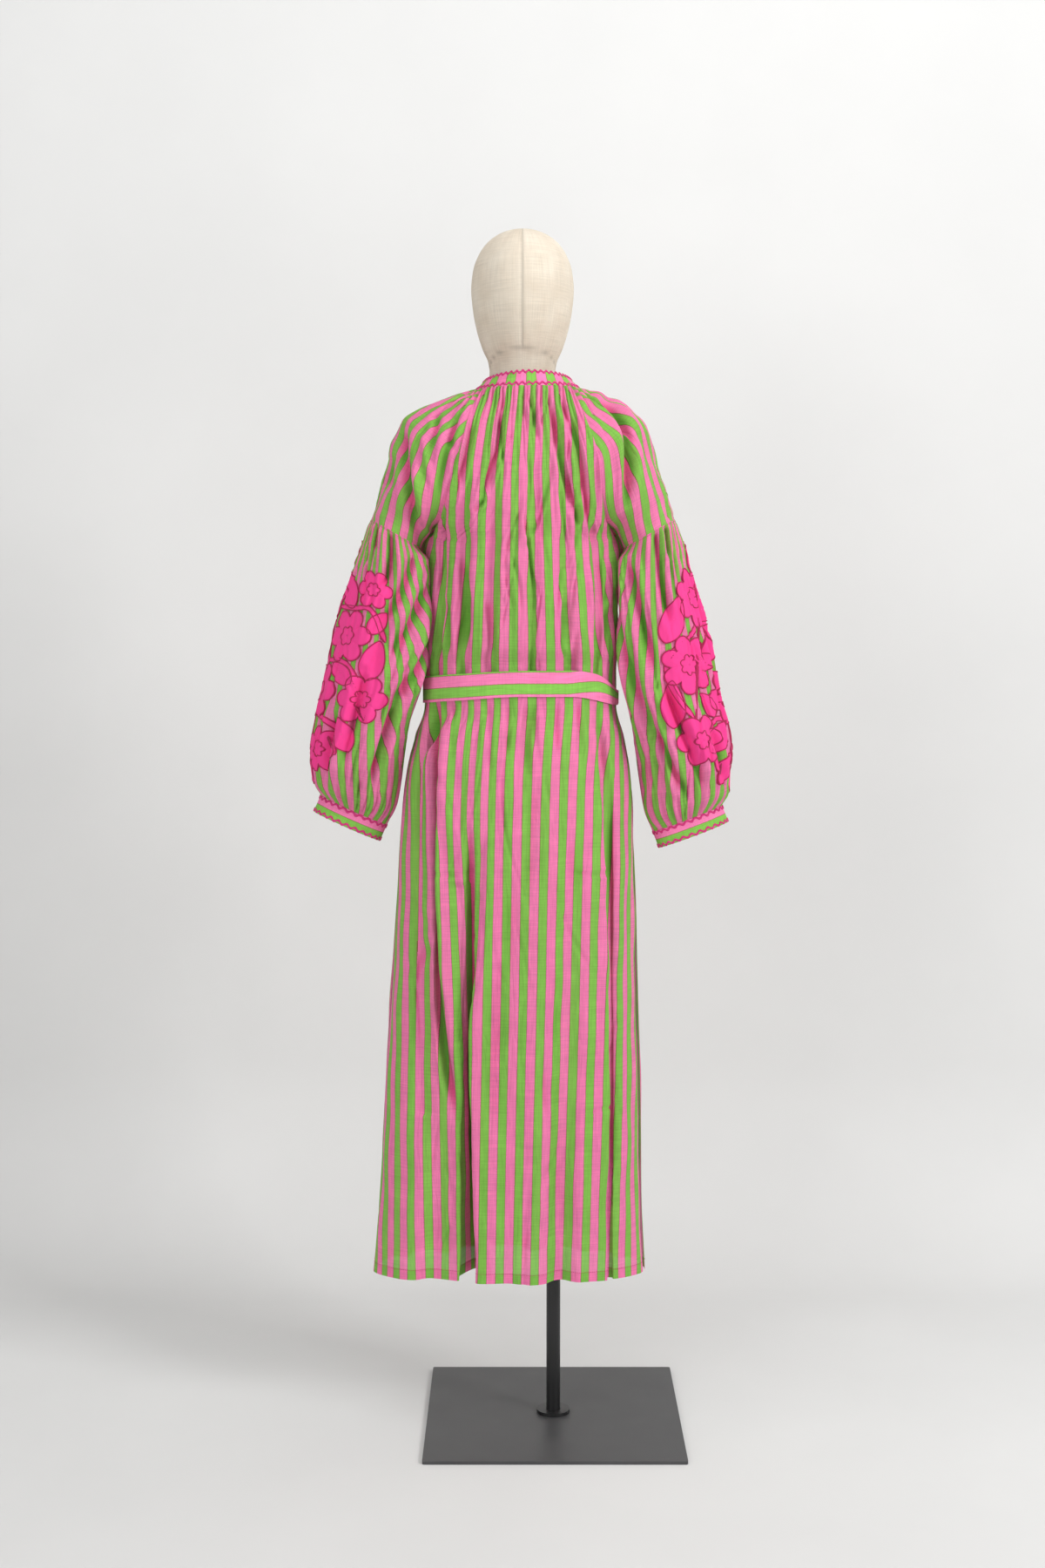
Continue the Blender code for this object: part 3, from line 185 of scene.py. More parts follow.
# The body from the underarm to the hem: its two sides, the middle of its back and of its front, and how
# square the outline is (1 is an ellipse).
BODY = Table(("z", "left_x", "right_x", "back_y", "front_y", "middle_x", "square"), [
    (1.325, -0.1360, 0.1360, -0.1210, 0.1320, 0.000, 1.00),
    (1.270, -0.1390, 0.1390, -0.1200, 0.1330, 0.000, 1.05),
    (1.210, -0.1410, 0.1400, -0.1170, 0.1300, 0.000, 1.08),
    (1.160, -0.1440, 0.1410, -0.1120, 0.1210, 0.000, 1.10),
    (1.135, -0.1435, 0.1385, -0.1000, 0.1040, 0.000, 1.10),
    (1.105, -0.1435, 0.1385, -0.1000, 0.1040, 0.000, 1.10),
    (1.075, -0.1435, 0.1385, -0.1000, 0.1040, 0.000, 1.10),
    (1.030, -0.1590, 0.1500, -0.1090, 0.1130, -0.003, 1.10),
    (0.980, -0.1720, 0.1590, -0.1150, 0.1180, -0.006, 1.10),
    (0.900, -0.1810, 0.1640, -0.1160, 0.1190, -0.008, 1.10),
    (0.780, -0.1890, 0.1700, -0.1110, 0.1170, -0.010, 1.10),
    (0.640, -0.1985, 0.1740, -0.1030, 0.1140, -0.012, 1.12),
    (0.500, -0.2070, 0.1780, -0.0960, 0.1110, -0.015, 1.14),
    (0.350, -0.2145, 0.1800, -0.0890, 0.1090, -0.018, 1.16),
    (0.2245, -0.2250, 0.1855, -0.0830, 0.1070, -0.020, 1.18),
])
BODY_TOP = 1.300  # just under the lowest point of the yoke's last row
HEM_RISE = 0.005  # the hem's back and front hang this much higher than its sides
BODY_ROWS = (1.255, 1.190, 1.138, 1.075, 1.030, 0.970, 0.880, 0.750, 0.580, 0.400, 0.2245)

# Long folds of the body. across runs from -1 at the left side seam to 1 at the right one, at the fold's
# upper and lower end; a positive depth is a trough and a negative one a ridge.
FOLD_COLUMNS = ("across_top", "across_low", "z_top", "z_low", "half_width", "depth_top", "depth_low")
BACK_FOLDS = named(FOLD_COLUMNS, [
    (-0.70, -0.52, 1.080, 0.480, 0.075, 0.016, 0.006),
    (-0.50, -0.30, 1.080, 0.820, 0.070, -0.009, -0.003),
    (-0.27, -0.165, 0.930, 0.200, 0.125, 0.002, 0.072),
    (-0.40, -0.38, 0.700, 0.200, 0.150, 0.000, 0.018),
    (0.05, 0.00, 1.080, 0.900, 0.060, 0.010, 0.003),
    (0.16, 0.13, 0.950, 0.200, 0.090, 0.000, -0.007),
    (0.30, 0.25, 0.880, 0.200, 0.080, 0.003, 0.016),
    (0.56, 0.53, 1.080, 0.200, 0.070, 0.012, 0.012),
    (-0.62, -0.66, 1.430, 1.120, 0.070, 0.004, 0.012),
    (-0.40, -0.42, 1.430, 1.120, 0.070, 0.005, 0.010),
    (-0.18, -0.22, 1.450, 1.120, 0.070, 0.006, 0.010),
    (0.06, 0.06, 1.450, 1.120, 0.060, 0.006, 0.010),
    (0.28, 0.34, 1.450, 1.120, 0.070, 0.006, 0.010),
    (0.56, 0.58, 1.430, 1.120, 0.070, 0.005, 0.011),
])
FRONT_FOLDS = named(FOLD_COLUMNS, [
    (-0.66, -0.60, 1.080, 0.200, 0.080, 0.012, 0.018),
    (-0.36, -0.34, 1.080, 0.200, 0.090, 0.008, 0.030),
    (-0.12, -0.10, 0.900, 0.200, 0.080, 0.002, -0.008),
    (0.14, 0.12, 0.980, 0.200, 0.090, 0.003, 0.026),
    (0.40, 0.40, 1.080, 0.200, 0.080, 0.009, 0.016),
    (0.68, 0.62, 1.080, 0.200, 0.070, 0.012, 0.014),
    (-0.60, -0.62, 1.400, 1.120, 0.070, 0.004, 0.011),
    (-0.34, -0.36, 1.400, 1.120, 0.070, 0.004, 0.010),
    (-0.12, -0.13, 1.300, 1.120, 0.060, 0.002, 0.008),
    (0.12, 0.13, 1.300, 1.120, 0.060, 0.002, 0.008),
    (0.34, 0.36, 1.400, 1.120, 0.070, 0.004, 0.010),
    (0.60, 0.62, 1.400, 1.120, 0.070, 0.004, 0.011),
])

# Long folds of the balloons: around is -1 and 1 at the underarm seam, negative at the back.
BALLOON_FOLDS = named(FOLD_COLUMNS, [
    (-0.74, -0.66, 0.05, 1.00, 0.080, 0.004, 0.010),
    (-0.50, -0.46, 0.00, 1.00, 0.070, 0.007, 0.008),
    (-0.24, -0.26, 0.30, 1.00, 0.070, 0.000, 0.008),
    (0.22, 0.24, 0.30, 1.00, 0.070, 0.000, 0.008),
    (0.48, 0.46, 0.00, 1.00, 0.070, 0.007, 0.008),
    (0.72, 0.66, 0.05, 1.00, 0.080, 0.004, 0.010),
])

# Dress form, measured from the garment axis.
FORM_COLUMNS = ("z", "half_width", "back", "front", "x")
TORSO = [
    (0.800, 0.108, 0.062, 0.054, 0.000),
    (0.808, 0.130, 0.079, 0.069, 0.000),
    (0.830, 0.145, 0.092, 0.082, 0.000),
    (0.880, 0.152, 0.099, 0.088, 0.000),
    (0.940, 0.150, 0.098, 0.088, 0.000),
    (1.020, 0.137, 0.088, 0.082, 0.000),
    (1.100, 0.122, 0.078, 0.078, 0.000),
    (1.180, 0.123, 0.084, 0.088, 0.000),
    (1.250, 0.125, 0.094, 0.106, 0.000),
    (1.310, 0.123, 0.099, 0.107, 0.001),
    (1.370, 0.130, 0.099, 0.094, 0.002),
    (1.420, 0.150, 0.094, 0.082, 0.002),
    (1.460, 0.166, 0.080, 0.068, 0.002),
    (1.484, 0.1688, 0.062, 0.054, 0.0018),
    (1.4990, 0.1567, 0.050, 0.046, 0.0016),
    (1.5085, 0.136, 0.046, 0.044, 0.002),
    (1.5180, 0.110, 0.048, 0.045, 0.003),
    (1.5250, 0.084, 0.052, 0.046, 0.004),
    (1.5330, 0.062, 0.053, 0.045, 0.003),
    (1.5450, 0.053, 0.052, 0.044, 0.001),
]
HEAD = [
    (1.5453, 0.0500, 0.0510, 0.0430, 0.000),
    (1.5600, 0.0482, 0.0500, 0.0480, 0.000),
    (1.5740, 0.0496, 0.0540, 0.0660, 0.000),
    (1.5940, 0.0580, 0.0700, 0.0860, 0.000),
    (1.6190, 0.0660, 0.0840, 0.0920, 0.000),
    (1.6500, 0.0722, 0.0936, 0.0954, 0.000),
    (1.6800, 0.0747, 0.0964, 0.0944, 0.000),
    (1.7070, 0.0718, 0.0926, 0.0890, 0.000),
    (1.7290, 0.0636, 0.0824, 0.0776, 0.000),
    (1.7450, 0.0522, 0.0670, 0.0620, 0.000),
    (1.7560, 0.0382, 0.0480, 0.0440, 0.000),
    (1.7630, 0.0220, 0.0276, 0.0250, 0.000),
    (1.7660, 0.0060, 0.0076, 0.0070, 0.000),
]


def unit(vectors):
    return vectors / np.maximum(np.linalg.norm(vectors, axis=-1, keepdims=True), 1e-12)


def smoothstep(x):
    x = np.clip(x, 0.0, 1.0)
    return x * x * (3 - 2 * x)


def hill(x):
    """1 at 0, falling smoothly to nothing on both sides."""
    return np.exp(-(x**2))


def between(start, end, share):
    return start + (end - start) * share


def run_along(points):
    """Length along a line of points, from 0 at its first one."""
    return np.concatenate([[0.0], np.cumsum(np.linalg.norm(np.diff(points, axis=0), axis=1))])


def at_runs(points, run, at):
    """Points at the lengths in at, along a line whose own points lie at the lengths in run."""
    return np.stack([np.interp(at, run, column) for column in points.T], -1)


def laid(u, v):
    """Flat cloth places from their two parts."""
    return np.stack(np.broadcast_arrays(u, v), -1)


def neck_ring(angle):
    """The seam between neckband and panels: angle 0 is the back, 90 degrees the right shoulder."""
    angle = np.asarray(angle, float)
    back = np.cos(angle)
    end_z = np.where(back > 0, NECK_BACK_Z, NECK_FRONT_Z)
    z = NECK_SIDE_Z + (end_z - NECK_SIDE_Z) * back**2 + NECK_TILT * np.sin(angle)
    return np.stack([NECK_X + NECK_HALF_WIDTH * np.sin(angle), NECK_Y - NECK_HALF_DEPTH * back, z], -1)


def raglan_curve(side, station, across):
    """A row of the raglan sleeve. across is -1 on the back seam, 0 on the arm line, 1 on the front seam."""
    table = RAGLAN[side]
    y = table.read("y", station)
    top = np.array([side * table.read("top_x", station), y, table.read("top_z", station)])
    seam = np.array([side * table.read("in_x", station), y, table.read("in_z", station)])
    reach = math.radians(table.read("reach", station))
    out = (top - seam) / (1 - math.cos(reach))
    angle = np.asarray(across, float)[..., None] * reach
    depth = np.array([0.0, table.read("half_depth", station), 0.0])
    points = top - out + out * np.cos(angle) + depth * np.sin(angle)
    at_neck = max(0.0, 1 - station)
    if at_neck > 0:  # the front of the neck ring lies lower than its back
        ring = side * math.pi / 2 + side * angle[..., 0] * math.radians(RAGLAN_AT_NECK) / reach
        rise = (neck_ring(ring)[..., 2] - neck_ring(side * math.pi / 2)[2]) * at_neck
        points = points + np.stack([0 * rise, 0 * rise, rise], -1)
    return points


def balloon_curve(side, down, around):
    """A ring of the balloon. around is -1 and 1 at the underarm seam, negative at the back."""
    table = BALLOON[side]
    y = table.read("y", down)
    outer = np.array([side * table.read("out_x", down), y, table.read("out_z", down)])
    inner = np.array([side * table.read("in_x", down), y, table.read("in_z", down)])
    middle, out = (outer + inner) / 2, (outer - inner) / 2
    turn = math.radians(table.read("turn", down)) * side
    depth = table.read("half_depth", down) * np.array([math.sin(turn), math.cos(turn), 0.0])
    angle = np.asarray(around, float)[..., None] * math.pi
    return middle + out * np.cos(angle) + depth * np.sin(angle)


def body_row(face, level):
    """Ends, middle, span and squareness of one row of the back (face -1) or front (1) panel.

    A level up to UNDERARM is a yoke station; past it, it counts the body's own rows by height."""
    if UNDERARM < level < UNDERARM + 1:  # eases from the yoke's last row into the body's first
        share = level - UNDERARM
        (above, high, _, _), (below, low, _, square) = body_row(face, UNDERARM), body_row(face, UNDERARM + 1)
        ends = [between(a, b, share) for a, b in zip(above, below)]
        return ends, between(high, low, share), math.pi / 2, between(1, square, share)
    if level <= UNDERARM:
        ends = [raglan_curve(side, level, float(face)) for side in (-1, 1)]
        name = "back" if face < 0 else "front"
        x = NECK_X * max(0.0, 1 - level / 3)
        middle = np.array([x, YOKE.read(name + "_y", level), YOKE.read(name + "_z", level)])
        return ends, middle, math.radians(YOKE.read("span", level)), 1.0
    z = height_of(level)
    ends = [np.array([BODY.read(name, z), 0.0, z]) for name in ("left_x", "right_x")]
    rise = HEM_RISE * max(0.0, 1 - (z - BODY_ROWS[-1]) / 0.15)
    middle = np.array([BODY.read("middle_x", z), BODY.read("back_y" if face < 0 else "front_y", z), z + rise])
    return ends, middle, math.pi / 2, BODY.read("square", z)


def height_of(level):
    """Height of a body row, between the underarm and the rows that follow it."""
    heights = (BODY_TOP, *BODY_ROWS)
    i = min(max(int(level) - UNDERARM, 0), len(heights) - 2)
    return between(heights[i], heights[i + 1], level - UNDERARM - i)


def body_curve(face, level, across):
    """A row of the back or front panel, from its left side (-1) to its right one (1)."""
    ends, middle, span, square = body_row(face, level)
    across = np.asarray(across, float)
    angle = np.abs(across) * span
    sideways = (np.sin(angle) / math.sin(span))[..., None]
    bent = (((1 - np.cos(angle)) / (1 - math.cos(span))) ** square)[..., None]
    end = np.where(across[..., None] < 0, ends[0], ends[1])
    share = np.concatenate([sideways, bent, bent], -1)
    return between(middle, end, share)


def fold_place(level, across):
    """Where along the body a point of a row lies, measured so that folds run straight through the yoke."""
    across = np.asarray(across, float)
    if level >= UNDERARM:
        return across
    span = math.radians(YOKE.read("span", level))
    widths = [RAGLAN[side].read("in_x", level) / RAGLAN[side].read("in_x", UNDERARM) for side in (-1, 1)]
    share = np.sin(np.abs(across) * span) / math.sin(span) * np.where(across < 0, *widths)
    return np.sign(across) * np.arcsin(np.clip(share, 0, 1)) / (math.pi / 2)


def fold_depth(folds, position, place, across):
    """How far the long folds push the cloth in at a position between their upper and lower ends."""
    depth = np.zeros_like(place)
    for f in folds:
        share = (position - f["z_top"]) / (f["z_low"] - f["z_top"])
        if not 0 <= share <= 1:
            continue
        centre = between(f["across_top"], f["across_low"], share)
        deep = between(f["depth_top"], f["depth_low"], share)
        deep *= float(smoothstep(share * 8) if f["depth_top"] else 1.0)
        near = np.clip(1 - ((place - centre) / f["half_width"]) ** 2, 0, 1)
        depth += deep * near**2
    return depth * smoothstep((1 - np.abs(across)) * 12)


def folded_row(curve, level, depth, face, step=0.02):
    """The row's dense points pushed in by its folds, square to the cloth."""
    across = np.linspace(-1, 1, DENSE)
    points = curve(level, across)
    along = np.gradient(points, axis=0)
    down = curve(level + step, across) - curve(level - step, across)
    normal = unit(np.cross(down, along)) * -face
    return points - normal * depth[:, None]


def seam_normals(face, side, level):
    """The shared normal on a seam, so that the two walls that meet there lean the same way."""
    if level > UNDERARM:
        return np.array([float(side), 0.0, 0.0])
    if level == UNDERARM:
        return unit(np.array([side * 0.45, 0.0, -1.0]))
    edge = np.array([0.985, 1.0]) if side > 0 else np.array([-1.0, -0.985])
    rows = [body_curve(face, level + step, edge) for step in (-0.05, 0.05)]
    body = np.cross(rows[1].mean(0) - rows[0].mean(0), rows[0][1] - rows[0][0])
    edge = np.array([-1.0, -0.97]) if face < 0 else np.array([0.97, 1.0])
    stations = (max(level - 0.05, 0.0), min(level + 0.05, SLEEVE_SEAM))
    rows = [raglan_curve(side, station, edge) for station in stations]
    sleeve = np.cross(rows[1].mean(0) - rows[0].mean(0), rows[0][1] - rows[0][0])
    return unit(unit(body) * -face + unit(sleeve) * side)


def neckband_edges(columns, low=0.0, high=1.0):
    """Upper and lower edge of the neckband from one side of the front slit round the back to the other."""
    gap = SLIT_HALF_GAP / NECK_HALF_WIDTH
    angle = np.linspace(-math.pi + gap, math.pi - gap, columns + 1)
    seam = neck_ring(angle)
    centre = np.array([NECK_X, NECK_Y, 0.0])
    flat = unit((seam - centre) * np.array([1, 1, 0]))
    side = (np.sin(angle) ** 2)[:, None]
    up, lean = (between(*pair, side) for pair in (NECKBAND_RISE, NECKBAND_LEAN))
    rise = flat * -lean + np.array([0, 0, 1.0]) * up
    away = unit(flat * up + np.array([0, 0, 1.0]) * lean)
    return seam + rise * high, seam + rise * low, away


def cuff_ring(side, down, columns):
    """A ring of a cuff, down metres below its top edge, and its outward directions."""
    around = np.linspace(-1, 1, columns + 1)
    ring = balloon_curve(side, 1.0, around)
    slant = math.radians(CUFF_SLANT[side])
    axis = np.array([side * math.sin(slant), 0.0, -math.cos(slant)])
    middle = ring[:-1].mean(0)
    out = ring - middle
    out = out - (out @ axis)[:, None] * axis
    along = np.gradient(ring, axis=0)
    along[0] = along[-1] = ring[1] - ring[-2]
    away = unit(np.cross(along, axis)) * side
    if (away * out).sum() < 0:
        away = -away
    ring = ring + axis * down
    ring[-1], away[-1] = ring[0], away[0]
    return ring, away, -axis


# The belt's upper and lower edge on the way round, from the left side (-90) over the back (0) to the right
# (90) and the front (180). It is pulled narrow on the right, where it runs to the knot.
BELT = Table(("angle", "top_z", "bottom_z"), [
    (-180, 1.1130, 1.0830),
    (-135, 1.1160, 1.0800),
    (-90, 1.1180, 1.0800),
    (-40, 1.1240, 1.0860),
    (0, 1.1290, 1.0920),
    (30, 1.1290, 1.0915),
    (48, 1.1270, 1.0890),
    (72, 1.1090, 1.0830),
    (90, 1.0980, 1.0800),
    (135, 1.1080, 1.0800),
    (180, 1.1130, 1.0830),
])


def waist_outline(angle, z, lift):
    """Points outside the cloth at the waist, lift away from it, and their outward directions."""
    back = np.cos(angle) >= 0
    across = np.where(back, angle, np.sign(angle + 1e-9) * math.pi - angle) / (math.pi / 2)
    faces = [body_curve(face, waist_level(z), across) for face in (-1, 1)]
    points = np.where(back[:, None], *faces)
    away = np.gradient(points, axis=0)
    away[0] = away[-1] = points[1] - points[-2]
    away = unit(np.cross(away, [0, 0, 1]))
    return points + away * lift, away


def waist_level(z):
    """The level of the body row at a height, which height_of turns back into it."""
    heights = (BODY_TOP, *BODY_ROWS)
    i = next(k for k in range(len(heights) - 1) if heights[k] >= z >= heights[k + 1])
    return UNDERARM + i + (heights[i] - z) / (heights[i] - heights[i + 1])


def front_reach(x, z, folds, width):
    """How far forward the folded front comes over a strip of this width, at this height."""
    level = waist_level(z)
    across = np.linspace(-1, 1, DENSE)
    depth = fold_depth(folds, z, across, across)
    dense = folded_row(lambda k, a: body_curve(1, k, a), level, depth, 1)
    near = np.abs(dense[:, 0] - x) < width
    return dense[near, 1].max()


KNOT_X, KNOT_Z = 0.012, 1.098
KNOT_SIZE = (0.040, 0.022, 0.034)
TAILS = {  # x at the knot and at the end, and length
    "left": (-0.002, -0.034, 0.34),
    "right": (0.026, 0.052, 0.38),
}


def knot_y():
    """How far forward the knot's middle lies, which is just clear of the belt."""
    return front_reach(KNOT_X, 1.100, [], 0.02) + BELT_PLAY + BAND_WALL + KNOT_SIZE[1] / 2 + CLEAR


def smooth_down(values):
    """Each value raised to the mean of its neighbours where that is higher, so that a strip bridges dips."""
    out = values.copy()
    for _ in range(30):
        out[1:-1] = np.maximum(out[1:-1], (out[:-2] + out[2:]) / 2)
    return out


# --- fine cloth -----------------------------------------------------------------------------

YOKE_ROWS, SKIRT_ROWS = 84, 220  # rows of the fine sheets above and below the underarm
LAST_LEVEL = UNDERARM + len(BODY_ROWS)
WIDE_CREASE = 0.0055  # half width from which a crease is as deep as it is drawn
DEEP_FOLD = 0.02  # a fold this deep takes up cloth of its own
SIDE_FILL = 0.0130  # how far the panels fill out under the arms
SEAM_PULL = 0.0014  # how far a seam is drawn in

# How much wider the flat cloth is than the space it hangs in, by level: gathered at the neck, nearly flat
# below.
FULLNESS = Table(("level", "panel", "sleeve"), [
    (0, 1.62, 1.62),
    (0.6, 1.52, 1.50),
    (1.4, 1.36, 1.25),
    (2.5, 1.29, 1.12),
    (4, 1.23, 1.06),
    (6, 1.16, 1.03),
    (7.5, 1.12, 1.02),
    (9, 1.05, 1.00),
    (10, 1.01, 1.00),
    (13, 1.03, 1.00),
    (15, 1.06, 1.00),
    (18, 1.10, 1.00),
])

# Creases drawn on the back of the bodice and of the skirt and on the raglan sleeves: points (x, z)
# from the garment axis, how deep they go (a negative depth is a ridge) and how far they reach to each side.
BODICE_CREASES = [
    ([(0.044, 1.499), (0.056, 1.416), (0.068, 1.370), (0.090, 1.311)], 0.0032, 0.0040),
    ([(0.071, 1.490), (0.083, 1.416), (0.098, 1.319), (0.108, 1.294)], 0.0032, 0.0040),
    ([(0.088, 1.505), (0.113, 1.466), (0.125, 1.440)], 0.0022, 0.0040),
    ([(-0.032, 1.489), (-0.036, 1.444), (-0.054, 1.376), (-0.069, 1.353)], 0.0032, 0.0040),
    ([(-0.070, 1.481), (-0.088, 1.396), (-0.099, 1.370)], 0.0025, 0.0040),
    ([(0.000, 1.524), (0.002, 1.506), (0.003, 1.480)], 0.0018, 0.0030),
    ([(0.007, 1.521), (0.018, 1.488), (0.020, 1.450)], 0.0022, 0.0032),
    ([(0.037, 1.518), (0.044, 1.472), (0.044, 1.430)], 0.0022, 0.0032),
    ([(0.055, 1.512), (0.067, 1.478), (0.076, 1.440)], 0.0022, 0.0032),
    ([(-0.026, 1.521), (-0.031, 1.464), (-0.030, 1.410)], 0.0022, 0.0032),
    ([(-0.055, 1.369), (-0.071, 1.351)], 0.0020, 0.0030),
    ([(0.022, 1.387), (0.027, 1.289), (0.022, 1.167)], 0.0016, 0.0080),
    ([(-0.012, 1.387), (-0.020, 1.265), (-0.015, 1.142)], 0.0016, 0.0080),
    ([(0.111, 1.289), (0.116, 1.216), (0.109, 1.140)], 0.0020, 0.0060),
    ([(-0.086, 1.289), (-0.079, 1.216), (-0.089, 1.140)], 0.0025, 0.0060),
    ([(-0.049, 1.228), (-0.042, 1.140)], 0.0015, 0.0050),
    ([(0.062, 1.228), (0.057, 1.140)], 0.0015, 0.0050),
    ([(-0.108, 1.228), (-0.106, 1.140)], 0.0020, 0.0040),
    ([(0.123, 1.216), (0.126, 1.140)], 0.0020, 0.0040),
]
SKIRT_CREASES = [
    ([(-0.127, 1.083), (-0.128, 0.844), (-0.129, 0.591), (-0.097, 0.418)], 0.0060, 0.0050),
    ([(-0.075, 0.894), (-0.074, 0.718), (-0.072, 0.464), (-0.070, 0.265)], 0.0040, 0.0050),
    ([(-0.015, 0.806), (-0.025, 0.528), (-0.013, 0.284)], 0.0025, 0.0120),
    ([(0.012, 0.968), (0.007, 0.781)], 0.0020, 0.0090),
    ([(0.127, 0.968), (0.132, 0.781), (0.137, 0.598), (0.133, 0.270)], 0.0050, 0.0070),
    ([(-0.120, 1.083), (-0.120, 1.018)], 0.0013, 0.0030),
    ([(0.006, 1.083), (0.007, 0.968)], 0.0013, 0.0040),
    ([(0.015, 1.083), (0.017, 1.006)], 0.0013, 0.0030),
    ([(0.080, 1.083), (0.084, 0.981)], 0.0013, 0.0040),
    ([(0.111, 1.080), (0.117, 0.968)], 0.0013, 0.0040),
    ([(-0.099, 1.083), (-0.104, 0.993)], 0.0013, 0.0035),
    ([(-0.049, 1.083), (-0.047, 0.968)], 0.0013, 0.0040),
    ([(-0.021, 1.083), (-0.022, 1.006)], 0.0013, 0.0035),
    ([(0.049, 1.083), (0.051, 1.006)], 0.0013, 0.0035),
    ([(-0.131, 0.839), (-0.100, 0.834), (-0.068, 0.840)], 0.0008, 0.0030),
    ([(0.075, 0.839), (0.106, 0.834), (0.131, 0.841)], 0.0008, 0.0030),
    ([(0.096, 0.484), (0.113, 0.491), (0.131, 0.488)], 0.0008, 0.0030),
    ([(0.050, 0.655), (0.057, 0.464), (0.051, 0.271)], 0.0020, 0.0120),
]
FRONT_CREASES = [
    ([(-0.060, 1.470), (-0.066, 1.400), (-0.078, 1.330)], 0.0028, 0.0040),
    ([(0.052, 1.460), (0.058, 1.390), (0.072, 1.310)], 0.0028, 0.0040),
    ([(0.026, 1.440), (0.028, 1.370)], 0.0020, 0.0035),
    ([(-0.026, 1.430), (-0.030, 1.350)], 0.0020, 0.0035),
    ([(-0.090, 1.440), (-0.102, 1.370)], 0.0022, 0.0040),
    ([(0.086, 1.430), (0.098, 1.350)], 0.0022, 0.0040),
    ([(-0.030, 1.300), (-0.036, 1.140)], 0.0018, 0.0080),
    ([(0.038, 1.290), (0.032, 1.140)], 0.0018, 0.0080),
    ([(-0.092, 1.250), (-0.086, 1.140)], 0.0024, 0.0050),
    ([(0.100, 1.240), (0.094, 1.140)], 0.0024, 0.0050),
    ([(-0.112, 1.080), (-0.120, 0.850), (-0.118, 0.500)], 0.0040, 0.0060),
    ([(0.104, 1.080), (0.112, 0.900), (0.118, 0.560)], 0.0040, 0.0060),
    ([(-0.060, 1.080), (-0.064, 0.960)], 0.0024, 0.0040),
    ([(-0.024, 1.080), (-0.022, 0.990)], 0.0022, 0.0035),
    ([(0.030, 1.080), (0.034, 0.980)], 0.0024, 0.0040),
    ([(0.070, 1.080), (0.076, 0.960)], 0.0022, 0.0040),
    ([(0.020, 0.900), (0.026, 0.620), (0.022, 0.280)], 0.0024, 0.0120),
    ([(-0.080, 0.780), (-0.088, 0.500), (-0.092, 0.270)], 0.0030, 0.0100),
]
SLEEVE_CREASES = {
    -1: [
        ([(-0.143, 1.466), (-0.136, 1.426), (-0.128, 1.383)], -0.0015, 0.0040),
        ([(-0.121, 1.493), (-0.130, 1.438)], 0.0018, 0.0040),
        ([(-0.103, 1.460), (-0.090, 1.429)], 0.0015, 0.0040),
        ([(-0.172, 1.475), (-0.170, 1.422), (-0.157, 1.367), (-0.142, 1.308)], 0.0045, 0.0070),
        ([(-0.151, 1.413), (-0.144, 1.352), (-0.137, 1.303)], -0.0040, 0.0070),
        ([(-0.094, 1.487), (-0.111, 1.426), (-0.124, 1.352)], 0.0025, 0.0050),
        ([(-0.188, 1.440), (-0.190, 1.380)], 0.0020, 0.0080),
    ],
    1: [
        ([(0.119, 1.514), (0.146, 1.480), (0.152, 1.455), (0.152, 1.398), (0.146, 1.337)], 0.0060, 0.0060),
        ([(0.093, 1.524), (0.124, 1.505), (0.145, 1.481)], 0.0025, 0.0040),
        ([(0.167, 1.463), (0.176, 1.413), (0.179, 1.352)], -0.0015, 0.0080),
        ([(0.133, 1.499), (0.167, 1.463), (0.188, 1.413)], 0.0018, 0.0060),
    ],
}
